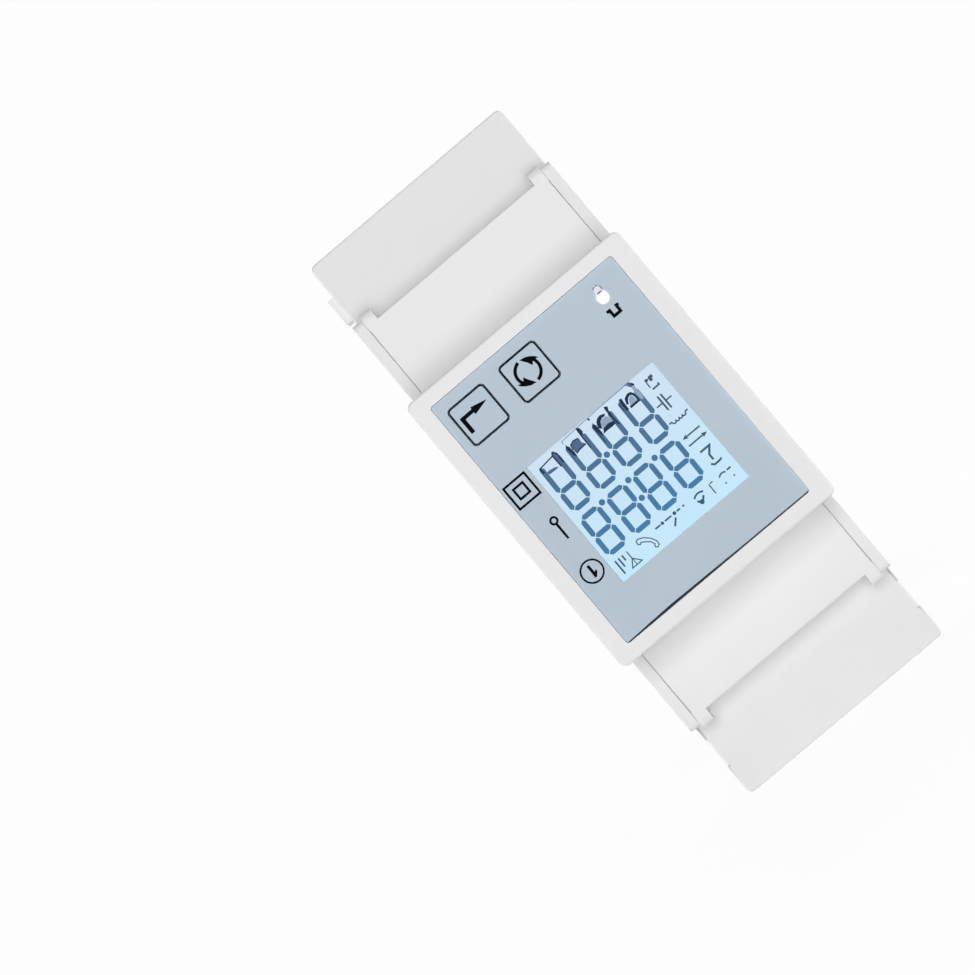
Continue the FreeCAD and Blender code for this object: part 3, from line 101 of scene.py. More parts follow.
def add_node(owner: Material | World, kind: str, fields: dict | None = None,
             sockets: dict | None = None, links: dict | None = None) -> Node:
    """Add one shader node with its settings and links.

    Args:
        owner: the material or the world that takes the node.
        kind: Blender's name of the node's type, without ShaderNode.
        fields: node settings by name.
        sockets: fixed input values by socket name or number.
        links: output sockets by the input name or number that each one feeds.

    Returns:
        The new node.
    """
    node = owner.node_tree.nodes.new(f"ShaderNode{kind}")
    for name, value in (fields or {}).items():
        setattr(node, name, value)
    for name, value in (sockets or {}).items():
        node.inputs[name].default_value = value
    for name, source in (links or {}).items():
        owner.node_tree.links.new(source, node.inputs[name])
    return node


@dataclass(frozen=True)
class Finish:
    """One surface finish: its colour, gloss and the fine relief that its making leaves.

    Args:
        name: the material's name.
        colour: sRGB hex of the clean surface.
        roughness: mean microfacet roughness.
        ior: refractive index; metals keep the default.
        metallic: 1 for bare metal.
        grain_mm: size of the relief's grains.
        grain_depth_mm: height of the relief.
        mottle: share by which slow patches lighten and darken the colour.
        mottle_mm: size of those patches.
        gloss_change: amount by which the same patches change the roughness.
        coat: weight of a clear coat.
        opacity: share of the light that a clear sheet keeps; 1 for all others.
        gloss_level: strength of the gloss; lower where ink or rubber soaks it up.
    """

    name: str
    colour: str
    roughness: float = 0.45
    ior: float = 1.5
    metallic: float = 0.0
    grain_mm: float = 0.3
    grain_depth_mm: float = 0.004
    mottle: float = 0.015
    mottle_mm: float = 9.0
    gloss_change: float = 0.04
    coat: float = 0.0
    opacity: float = 1.0
    gloss_level: float = 0.5

    def material(self) -> Material:
        """Make the finish's material the first time, and find it again later.

        Returns:
            The material.
        """
        known = bpy.data.materials.get(self.name)
        if known:
            return known
        made = bpy.data.materials.new(self.name)
        made.use_nodes = True
        made.diffuse_color = linear(self.colour)
        made.node_tree.nodes.clear()
        place = add_node(made, "TexCoord").outputs["Object"]
        shader = self.surface(made, place)
        add_node(made, "OutputMaterial", links={"Surface": shader})
        return made

    def surface(self, made: Material, place: Socket) -> Socket:
        """Build the shader from its colour, gloss and relief.

        Args:
            made: the material in the making.
            place: Object coordinates.

        Returns:
            The shader's output.
        """
        flow = self.flow(made, place)
        gloss = add_node(made, "MapRange",
                         sockets={**FLOW_SPAN, "To Min": self.roughness - self.gloss_change,
                                  "To Max": self.roughness + self.gloss_change},
                         links={"Value": flow})
        normal = add_node(made, "Bump", sockets={"Distance": self.grain_depth_mm * MM},
                          links={"Height": self.height(made, place)})
        return add_node(
            made, "BsdfPrincipled",
            sockets={"IOR": self.ior, "Metallic": self.metallic, "Coat Weight": self.coat,
                     "Coat Roughness": COAT_ROUGHNESS, "Alpha": self.opacity,
                     "Specular IOR Level": self.gloss_level},
            links={"Base Color": self.tint(made, flow, linear(self.colour)),
                   "Roughness": gloss.outputs["Result"], "Normal": normal.outputs["Normal"]},
        ).outputs["BSDF"]

    def flow(self, made: Material, place: Socket) -> Socket:
        """Lay out slow flow marks, as a melt or a bath leaves them.

        Args:
            made: the material in the making.
            place: Object coordinates.

        Returns:
            Their strength, about 0.3 to 0.7.
        """
        return add_node(made, "TexNoise",
                        sockets={"Scale": 1 / (self.mottle_mm * MM), "Detail": 3.0,
                                 "Roughness": 0.55},
                        links={"Vector": place}).outputs["Fac"]

    def height(self, made: Material, place: Socket) -> Socket:
        """Raise the fine grain.

        Args:
            made: the material in the making.
            place: Object coordinates.

        Returns:
            Its height, from 0 to 1.
        """
        return add_node(made, "TexNoise",
                        sockets={"Scale": 1 / (self.grain_mm * MM), "Detail": 2.0,
                                 "Roughness": 0.6},
                        links={"Vector": place}).outputs["Fac"]

    def tint(self, made: Material, flow: Socket, colour: Colour | Socket) -> Socket:
        """Lighten and darken a colour with the flow marks.

        Args:
            made: the material in the making.
            flow: the flow marks.
            colour: a fixed colour, or the socket that gives it.

        Returns:
            The varied colour.
        """
        light = add_node(made, "MapRange",
                         sockets={**FLOW_SPAN, "To Min": 1 - self.mottle,
                                  "To Max": 1 + self.mottle},
                         links={"Value": flow}).outputs["Result"]
        fixed = isinstance(colour, tuple)
        return add_node(made, "HueSaturation",
                        sockets={"Color": colour} if fixed else {},
                        links={"Value": light} if fixed else {"Value": light, "Color": colour},
                        ).outputs["Color"]


@dataclass(frozen=True)
class TurnedMetal(Finish):
    """Metal with fine tool marks that run round or along one axis.

    Args:
        lay: how much closer the marks lie along X, Y and Z.
    """

    metallic: float = 1.0
    lay: Triple = (1.0, 12.0, 1.0)

    def height(self, made: Material, place: Socket) -> Socket:
        """Stretch noise to the marks of a tool or of drawing.

        Args:
            made: the material in the making.
            place: Object coordinates.

        Returns:
            Their height, from 0 to 1.
        """
        along = add_node(made, "Mapping", sockets={"Scale": self.lay},
                         links={"Vector": place}).outputs["Vector"]
        return add_node(made, "TexNoise",
                        sockets={"Scale": 1 / (self.grain_mm * MM), "Detail": 3.0},
                        links={"Vector": along}).outputs["Fac"]


@dataclass(frozen=True)
class Laminate(Finish):
    """Solder mask over woven glass cloth, whose threads show as a faint square weave.

    Args:
        thread_mm: spacing of the threads.
    """

    thread_mm: float = 0.5

    def height(self, made: Material, place: Socket) -> Socket:
        """Cross two sets of threads.

        Args:
            made: the material in the making.
            place: Object coordinates.

        Returns:
            Their height, from 0 to 1.
        """
        warp, weft = (add_node(made, "TexWave", fields={"bands_direction": way},
                               sockets={"Scale": 1 / (self.thread_mm * MM * math.tau)},
                               links={"Vector": place}).outputs["Fac"] for way in ("X", "Z"))
        return add_node(made, "Math", fields={"operation": "MAXIMUM"},
                        links={0: warp, 1: weft}).outputs["Value"]


@dataclass(frozen=True)
class LitPanel(Finish):
    """Backlit piece: a light of its own that changes a little from low to high.

    Args:
        low: sRGB hex at the lower edge.
        high: sRGB hex at the upper edge.
        low_z: height of the lower edge in millimetres.
        high_z: height of the upper edge in millimetres.
        glow: strength of the light.
    """

    colour: str = "#04070C"
    roughness: float = 0.2
    gloss_level: float = 0.05
    low: str = "#BFE2F8"
    high: str = "#C4DBEF"
    low_z: float = -13.6
    high_z: float = 6.0
    glow: float = 1.0

    def surface(self, made: Material, place: Socket) -> Socket:
        """Build dark glass that sends out the backlight's colour.

        Args:
            made: the material in the making.
            place: Object coordinates.

        Returns:
            The shader's output.
        """
        upright = add_node(made, "SeparateXYZ", links={"Vector": place}).outputs["Z"]
        share = add_node(made, "MapRange",
                         sockets={"From Min": self.low_z * MM, "From Max": self.high_z * MM},
                         links={"Value": upright}).outputs["Result"]
        blend = add_node(made, "Mix", fields={"data_type": "RGBA"},
                         sockets={MIX_FROM: linear(self.low), MIX_TO: linear(self.high)},
                         links={0: share})
        light = self.tint(made, self.flow(made, place), blend.outputs[MIX_RESULT])
        return add_node(
            made, "BsdfPrincipled",
            sockets={"Base Color": linear(self.colour), "IOR": self.ior,
                     "Roughness": self.roughness, "Specular IOR Level": self.gloss_level,
                     "Emission Strength": self.glow},
            links={"Emission Color": light}).outputs["BSDF"]


# Injection-moulded polycarbonate from a spark-eroded tool: neutral white, dull, with a fine grain
# that is drawn at 0.3 mm, three times its real size, so that it shows
HOUSING = Finish("spark_eroded_polycarbonate", "#EBEBEC", roughness=0.5, ior=1.58, mottle=0.008)
# The same resin from a smoother tool: the hinged covers look a little brighter and glossier
COVER = Finish("smooth_moulded_polycarbonate", "#ECECEC", roughness=0.36, ior=1.58,
               grain_mm=0.35, grain_depth_mm=0.002, mottle=0.006)
# Polycarbonate film with a velvet hard coat, printed pale blue grey on its back
PLATE = Finish("velvet_polycarbonate_film", "#B6C4D1", roughness=0.42, ior=1.58,
               grain_mm=0.25, grain_depth_mm=0.0015, mottle=0.02, mottle_mm=14.0)
# Screen-printed solvent ink: near black and dull
INK = Finish("screen_printed_black_ink", "#01040A", roughness=0.6, grain_mm=0.1,
             grain_depth_mm=0.002, gloss_level=0.06)
# Painted light of the lamp on the plate, a ring round it and a spot above it: a faint pinkish
# white
LAMP_LIGHT_PAINT = Finish("painted_lamp_light", "#E9E2EA", roughness=0.5, grain_mm=0.1,
                  grain_depth_mm=0.002)
# Painted shadow along the plate's foot, where the film lifts a little: dark grey and dull
FOOT_SHADOW_PAINT = Finish("painted_film_foot_shadow", "#2A333C", roughness=0.6, grain_mm=0.1,
                   grain_depth_mm=0.002, gloss_level=0.15)
# Screen-printed ink in one thin pass: mid grey, a little uneven
GREY_INK = Finish("screen_printed_grey_ink", "#5A5866", roughness=0.55, grain_mm=0.1,
                  grain_depth_mm=0.002)
# Cast acrylic with an antireflective coat: clear, polished
WINDOW = Finish("polished_clear_acrylic", "#E8F4FC", roughness=0.06, ior=1.49, grain_mm=3.0,
                grain_depth_mm=0.0005, gloss_change=0.01, opacity=0.006, gloss_level=0.3)
# Liquid crystal cell over a white backlight; the window in front of it takes the gloss
CELL = LitPanel("backlit_liquid_crystal_cell", "#05080B", mottle=0.012, mottle_mm=5.0,
                gloss_level=0.1, low="#C4E7FC", high="#CDE2F4")
# Switched crystal: it holds the backlight back and looks steel blue, darker at the top
SEGMENT = LitPanel("switched_liquid_crystal", low="#3D7FAE", high="#4D6888", mottle=0.06,
                   mottle_mm=1.5)
# Upper ends of the bars, where the frame's shadow falls on them
DARK_SEGMENT = LitPanel("shaded_liquid_crystal", low="#0C2A48", high="#0E2844", mottle=0.15,
                        mottle_mm=0.7)
# Painted shade over the upper digits' tops, in a middle and in a pale tone
MID_SHADE_CRYSTAL = LitPanel("painted_mid_shade_crystal", low="#4C7096", high="#4C6288",
                        mottle=0.15, mottle_mm=0.8)
FAINT_SHADE_CRYSTAL = LitPanel("painted_faint_shade_crystal", low="#8FB2CA", high="#8FA3BC",
                        mottle=0.08, mottle_mm=0.8, gloss_level=0.1)
# Signs of the cell: the same crystal in thin lines, greyer
SIGN = LitPanel("switched_crystal_sign", low="#3C5C6C", high="#3E5366", mottle=0.08,
                mottle_mm=0.6, gloss_level=0.1)
# Clear acrylic over a lit white lamp: it shows as a near white spot
LAMP = LitPanel("lit_clear_acrylic", "#9A9CA0", roughness=0.15, gloss_level=0.5, low="#FFFDFE",
                high="#FFFFFF", low_z=15.5, high_z=17.6, glow=0.75, mottle=0.01, mottle_mm=0.5)
# Epoxy cast clear round a diode: glossy and nearly without colour
EPOXY_LENS = Finish("clear_cast_epoxy", "#E9ECEE", roughness=0.12, coat=0.5, grain_depth_mm=0.001)
# White ABS from a polished tool: clean and half glossy
ABS_FRAME = Finish("moulded_white_abs", "#D9DADA", roughness=0.4, ior=1.54)
# Acrylic with a little white filler: milky, with a soft gloss
GUIDE = Finish("milky_acrylic_guide", "#EAF1F5", roughness=0.25, ior=1.49, grain_depth_mm=0.001)
# Striped silicone: conductive and insulating layers 0.1 mm apart, seen as an even grey
SILICONE = Finish("zebra_striped_silicone", "#57585A", roughness=0.75, ior=1.41, grain_mm=0.2)
# Green solder mask over glass laminate: satin, and the weave shows faintly
BOARD = Laminate("solder_masked_glass_laminate", "#14502C", roughness=0.35, grain_depth_mm=0.006,
                 mottle=0.05)
# Transfer-moulded epoxy: black, dull, sandy
PACKAGE = Finish("transfer_moulded_epoxy", "#1B1C1E", roughness=0.6, grain_mm=0.12,
                 grain_depth_mm=0.01, mottle=0.06, mottle_mm=2.0)
# Glass-filled polyamide: mid grey with a slight marbling
BLOCK = Finish("glass_filled_grey_polyamide", "#8A8E92", roughness=0.55, ior=1.53,
               grain_mm=0.25, grain_depth_mm=0.008, mottle=0.04, mottle_mm=4.0)
# The same polyamide in black: its glass dulls it to charcoal
CLIP = Finish("glass_filled_black_polyamide", "#2A2C2F", roughness=0.5, ior=1.53,
              grain_mm=0.25, grain_depth_mm=0.008, mottle=0.06, mottle_mm=5.0)
# Bright zinc plate on cold-headed steel: bluish, a little cloudy
ZINC = TurnedMetal("bright_zinc_plated_steel", "#C9CCD1", roughness=0.3, grain_mm=0.25,
                   grain_depth_mm=0.004, mottle=0.05, mottle_mm=1.5, gloss_change=0.08)
# Hard-drawn spring wire: dark grey with marks along it
WIRE = TurnedMetal("hard_drawn_spring_wire", "#A8AAAD", roughness=0.33, grain_mm=0.15,
                   grain_depth_mm=0.003, lay=(4.0, 4.0, 1.0), mottle=0.05)
# Hot-dipped tin over brass: soft white metal, slightly warm
TIN = TurnedMetal("tin_dipped_brass", "#C8C4B6", roughness=0.38, grain_mm=0.4,
                  grain_depth_mm=0.004, lay=(1.0, 1.0, 3.0), mottle=0.06, mottle_mm=2.0)
# Aluminium drawn deep: bright, with fine lines along the draw
CAN = TurnedMetal("deep_drawn_aluminium_can", "#D2D4D6", roughness=0.3, grain_mm=0.3,
                  grain_depth_mm=0.003, lay=(1.0, 1.0, 8.0))
# Sleeve shrunk tight by heat: smooth black with a soft shine
SLEEVE = Finish("shrunk_black_sleeve", "#17181F", roughness=0.3, grain_depth_mm=0.003)
# Plastic box filled with resin: plain ochre yellow, half dull
POTTED = Finish("potted_yellow_box", "#C9A227", roughness=0.38, mottle=0.03)
# Epoxy dip: a thick glossy blue skin with a slight ripple
DIPPED = Finish("dipped_blue_epoxy", "#1E4A86", roughness=0.3, grain_mm=0.6,
                grain_depth_mm=0.02, coat=0.3)
# Ferrite, pressed and sintered: charcoal, dry and grainy
FERRITE = Finish("sintered_ferrite", "#3A3B3D", roughness=0.65, grain_mm=0.15,
                 grain_depth_mm=0.012, mottle=0.08, mottle_mm=1.5)
# Paint over ceramic: buff and chalky
CERAMIC = Finish("painted_ceramic_resistor", "#A3957B", roughness=0.55, grain_mm=0.2,
                 grain_depth_mm=0.01, mottle=0.05)

# The clamp screws and cages at both ends
CLAMPS = " ".join(f"{end}_screw_{number} {end}_cage_{number}"
                  for end in ("top", "bottom") for number in range(1, 5))
# The finish of every CAD node
NODE_FINISH: dict[str, Finish] = {node: finish for finish, nodes in (
    (HOUSING, "rear_housing front_housing"),
    (COVER, "top_terminal_cover bottom_terminal_cover"),
    (PLATE, "faceplate enter_key cycle_key"),
    (WINDOW, "display_window"),
    (CELL, "lcd_glass"),
    (ABS_FRAME, "lcd_frame"),
    (GUIDE, "lcd_light_guide"),
    (EPOXY_LENS, "lcd_backlights pulse_lamp"),
    (SILICONE, "zebra_strips"),
    (LAMP, "pulse_light_pipe"),
    (BOARD, "display_board main_board"),
    (ZINC, f"display_board_screws main_board_screws {CLAMPS}"),
    (PACKAGE, "display_controller enter_switch cycle_switch enter_plunger cycle_plunger "
              "board_header metering_chip serial_driver optocouplers bridge_rectifier"),
    (CLIP, "din_clip"),
    (WIRE, "din_clip_spring"),
    (CAN, "quartz_crystal"),
    (CERAMIC, "divider_resistors fusible_resistor"),
    (FERRITE, "supply_transformer supply_choke"),
    (SLEEVE, "buffer_capacitor"),
    (POTTED, "mains_capacitor"),
    (DIPPED, "varistor"),
    (BLOCK, "top_terminal_block bottom_terminal_block"),
    (TIN, "top_terminal_contacts bottom_terminal_contacts"),
) for node in nodes.split()}


# Building

def copy_node(node: str) -> Shape:
    """Copy a CAD node's mesh in millimetres and join its loose triangles.

    Args:
        node: the node's name.

    Returns:
        The copy.
    """
    shape = bmesh.new()
    shape.from_mesh(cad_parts[node].data)
    bmesh.ops.scale(shape, vec=(1 / MM,) * 3, verts=shape.verts)
    bmesh.ops.remove_doubles(shape, verts=shape.verts, dist=MERGE)
    return shape


def make_object(shape: Shape, name: str, material: Material) -> Piece:
    """Turn a bmesh in millimetres into an object at the origin.

    Args:
        shape: the finished bmesh, which is freed.
        name: the object's name.
        material: its material.

    Returns:
        The new object, in the scene.
    """
    bmesh.ops.scale(shape, vec=(MM,) * 3, verts=shape.verts)
    mesh = bpy.data.meshes.new(name)
    shape.to_mesh(mesh)
    shape.free()
    mesh.materials.append(material)
    made = bpy.data.objects.new(name, mesh)
    bpy.context.scene.collection.objects.link(made)
    return made


def publish(shape: Shape, name: str, finish: Finish, body: Body,
            smooth_deg: float | None = None) -> Piece:
    """Turn a bmesh in millimetres into a piece that rides on a body.

    Args:
        shape: the finished bmesh, which is freed.
        name: the piece's name.
        finish: its finish.
        body: the CAD body it moves with.
        smooth_deg: shade smooth over edges below this angle; flat if None.

    Returns:
        The piece.
    """
    piece = make_object(shape, name, finish.material())
    if smooth_deg is not None:
        piece.data.polygons.foreach_set("use_smooth", [True] * len(piece.data.polygons))
        piece.data.set_sharp_from_angle(angle=math.radians(smooth_deg))
    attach(piece, body.value)
    return piece


@dataclass
class EasedNode:
    """A moulded CAD node with its sharp edges eased, as a mould's own edges are.

    Args:
        node: the CAD node it stands for.
        body: the body it rides on.
        finish: its finish.
        slot: the record's material slot; not used.
        radius: size of the eased edge.
        alike: its left side is the mirror image of its right side.
        flat_deg: faces within this angle of each other become one.
        sharp_deg: edges above this angle are eased.
        room: length of the shortest edge that is left alone, in radii.
        smooth_deg: shade smooth over edges below this angle.
    """

    node: str
    body: Body
    finish: Finish
    slot: str
    radius: float
    alike: bool = False
    flat_deg: float = 0.4
    sharp_deg: float = 40.0
    room: float = 5.0
    smooth_deg: float = 30.0

    def build(self) -> Piece:
        """Copy the node, join its faces, ease its edges and hide the node itself.

        Returns:
            The eased copy.
        """
        shape = copy_node(self.node)
        if self.alike:
            self.mirror_right(shape)
        bmesh.ops.dissolve_limit(shape, angle_limit=math.radians(self.flat_deg),
                                 verts=shape.verts, edges=shape.edges)
        bmesh.ops.bevel(shape, geom=self.open_edges(shape), offset=self.radius,
                        offset_type="OFFSET", affect="EDGES", segments=2, profile=0.5,
                        material=-1, clamp_overlap=True)
        bmesh.ops.remove_doubles(shape, verts=shape.verts, dist=MERGE)
        piece = publish(shape, f"{self.node}_eased", self.finish, self.body,
                        self.smooth_deg)
        weighted = piece.modifiers.new("even_faces", "WEIGHTED_NORMAL")
        weighted.keep_sharp = True
        weighted.weight = 100
        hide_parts(self.node)
        return piece

    def mirror_right(self, shape: Shape) -> None:
        """Replace the left half by the mirror image of the right half.

        Args:
            shape: the merged copy.
        """
        bmesh.ops.bisect_plane(shape, geom=shape.verts[:] + shape.edges[:] + shape.faces[:],
                               dist=MERGE / 10, plane_co=(0, 0, 0), plane_no=(-1, 0, 0),
                               clear_outer=True)
        bmesh.ops.mirror(shape, geom=shape.verts[:] + shape.edges[:] + shape.faces[:],
                         axis="X", merge_dist=MERGE)
        bmesh.ops.recalc_face_normals(shape, faces=shape.faces)

    def open_edges(self, shape: Shape) -> list[BMEdge]:
        """Pick the sharp edges that have room to be eased.

        Args:
            shape: the merged copy.

        Returns:
            Edges with no short edge, such as a curve's, at either end.
        """
        return [edge for edge in shape.edges if len(edge.link_faces) == 2
                and edge.calc_face_angle() > math.radians(self.sharp_deg)
                and all(near.calc_length() > self.radius * self.room
                        for vert in edge.verts for near in vert.link_edges)]


@dataclass
class Artwork:
    """Flat shapes that face the front, later raised to a film on the plane behind them.

    Args:
        reach: distance of the carrying surface in front of the rail seat.
        thickness: thickness of the film.
        arc_step_deg: an arc's turn for each of its faces.
        arc_steps: the fewest faces that an arc has.
        mitre_cos: a mitre follows a corner until the cosine of half its turn falls to this.
        shape: the drawing so far.
    """

    reach: float
    thickness: float
    arc_step_deg: float = 6.0
    arc_steps: int = 4
    mitre_cos: float = 0.4
    shape: Shape = field(default_factory=bmesh.new)

    def place(self, verts: list[BMVert], x: float, z: float) -> None:
        """Stand flat vertices up to face the front and move them to a place.

        Args:
            verts: the vertices.
            x: place across.
            z: place in height.
        """
        bmesh.ops.rotate(self.shape, cent=(0, 0, 0), verts=verts,
                         matrix=Matrix.Rotation(math.pi / 2, 3, "X"))
        bmesh.ops.translate(self.shape, vec=(x, 0, z), verts=verts)

    def draw(self, **rows: Iterable) -> "Artwork":
        """Draw many shapes.

        Args:
            rows: each shape's arguments, under the name of the method that draws it.

        Returns:
            The drawing itself.
        """
        for method, shapes in rows.items():
            for shape in shapes:
                getattr(self, method)(*shape)
        return self

    def polygon(self, *corners: Point) -> BMFace:
        """Fill one outline.

        Args:
            corners: its corners on X and Z, in order.

        Returns:
            The face.
        """
        face = self.shape.faces.new([self.shape.verts.new((x, 0, z)) for x, z in corners])
        face.normal_update()
        return face

    def bar(self, x: float, z: float, width: float, height: float) -> None:
        """Draw a rectangle about its middle.

        Args:
            x: middle across.
            z: middle in height.
            width: size across.
            height: size in height.
        """
        made = bmesh.ops.create_grid(self.shape, x_segments=1, y_segments=1, size=0.5)["verts"]
        bmesh.ops.scale(self.shape, vec=(width, height, 1), verts=made)
        self.place(made, x, z)

    def disc(self, x: float, z: float, radius: float, steps: int = 32) -> None:
        """Draw a filled circle.

        Args:
            x: middle across.
            z: middle in height.
            radius: its radius.
            steps: corners of its outline.
        """
        made = bmesh.ops.create_circle(self.shape, cap_ends=True, radius=radius, segments=steps)
        self.place(made["verts"], x, z)

    def ring(self, x: float, z: float, radius: float, stroke: float) -> None:
        """Draw a circle's line, inside its outer radius."""
        self.arc(x, z, radius - stroke / 2, stroke, 0, 360)

    def hollow(self, face: BMFace, stroke: float) -> None:
        """Leave only a line of a face, along its edge.

        Args:
            face: the face.
            stroke: width of the line.
        """
        bmesh.ops.inset_individual(self.shape, faces=[face], thickness=stroke,
                                   use_even_offset=True)
        bmesh.ops.delete(self.shape, geom=[face], context="FACES")

    def frame_line(self, x: float, z: float, width: float, height: float, stroke: float,
                   corner: float = 0.0) -> None:
        """Draw a rectangle's line, inside its outer size.

        Args:
            x: middle across.
            z: middle in height.
            width: outer size across.
            height: outer size in height.
            stroke: width of the line.
            corner: outer radius of its corners.
        """
        face = self.polygon((x - width / 2, z - height / 2), (x + width / 2, z - height / 2),
                            (x + width / 2, z + height / 2), (x - width / 2, z + height / 2))
        if corner:
            made = bmesh.ops.bevel(self.shape, geom=list(face.verts), offset=corner, segments=6,
                                   profile=0.5, affect="VERTICES", material=-1)
            face = made["verts"][0].link_faces[0]
        self.hollow(face, stroke)

    def arc(self, x: float, z: float, radius: float, stroke: float, start_deg: float,
            sweep_deg: float) -> None:
        """Draw part of a circle's line, anticlockwise as seen from the front.

        Args:
            x: middle across.
            z: middle in height.
            radius: radius of the line's middle.
            stroke: width of the line.
            start_deg: where it starts, from the right.
            sweep_deg: how far it goes; 360 closes it.
        """
        start = math.radians(start_deg)
        ends = [self.shape.verts.new((x + size * math.cos(start), 0, z + size * math.sin(start)))
                for size in (radius - stroke / 2, radius + stroke / 2)]
        edge = self.shape.edges.new(ends)
        steps = max(self.arc_steps, int(sweep_deg / self.arc_step_deg))
        bmesh.ops.spin(self.shape, geom=[*ends, edge], cent=(x, 0, z), axis=(0, -1, 0),
                       angle=math.radians(sweep_deg), steps=steps, use_merge=sweep_deg >= 360)

    def ribbon(self, path: list[Point], stroke: float, closed: bool = False) -> None:
        """Draw a line of even width along a path, mitred at its corners.

        Args:
            path: the points of its middle.
            stroke: width of the line.
            closed: join the last point to the first.
        """
        points = [Vector(point) for point in path]
        if closed:
            points = [points[-1], *points, points[0]]
        runs = [(after - before).normalized() for before, after in zip(points, points[1:])]
        corners = points[1:-1] if closed else points
        into, out = (runs[:-1], runs[1:]) if closed else ([runs[0], *runs], [*runs, runs[-1]])
        pairs: list[tuple[BMVert, BMVert]] = []
        for point, first, second in zip(corners, into, out):
            way = (first + second).normalized()
            side = Vector((-way.y, way.x))
            side *= stroke / 2 / max(self.mitre_cos, way.dot(first))
            pairs.append(tuple(self.shape.verts.new((rim.x, 0, rim.y))
                               for rim in (point + side, point - side)))
        following = [*pairs[1:], pairs[0]] if closed else pairs[1:]
        for (left, right), (next_left, next_right) in zip(pairs, following):
            self.shape.faces.new((left, right, next_right, next_left))

    def finish(self, name: str, finish: Finish, body: Body, slot: str) -> Piece:
        """Raise the drawing to its film, seat it on its carrier and publish it.

        Args:
            name: the piece's name.
            finish: its finish.
            body: the body that carries it.
            slot: the record's material slot; not used.

        Returns:
            The piece.
        """
        for face in self.shape.faces:
            face.normal_update()
            if face.normal.y > 0:
                face.normal_flip()
        bmesh.ops.solidify(self.shape, geom=self.shape.faces[:], thickness=self.thickness)
        back = max(vert.co.y for vert in self.shape.verts)
        bmesh.ops.translate(self.shape, vec=(0, -self.reach - back, 0), verts=self.shape.verts)
        bmesh.ops.recalc_face_normals(self.shape, faces=self.shape.faces)
        return publish(self.shape, name, finish, body)


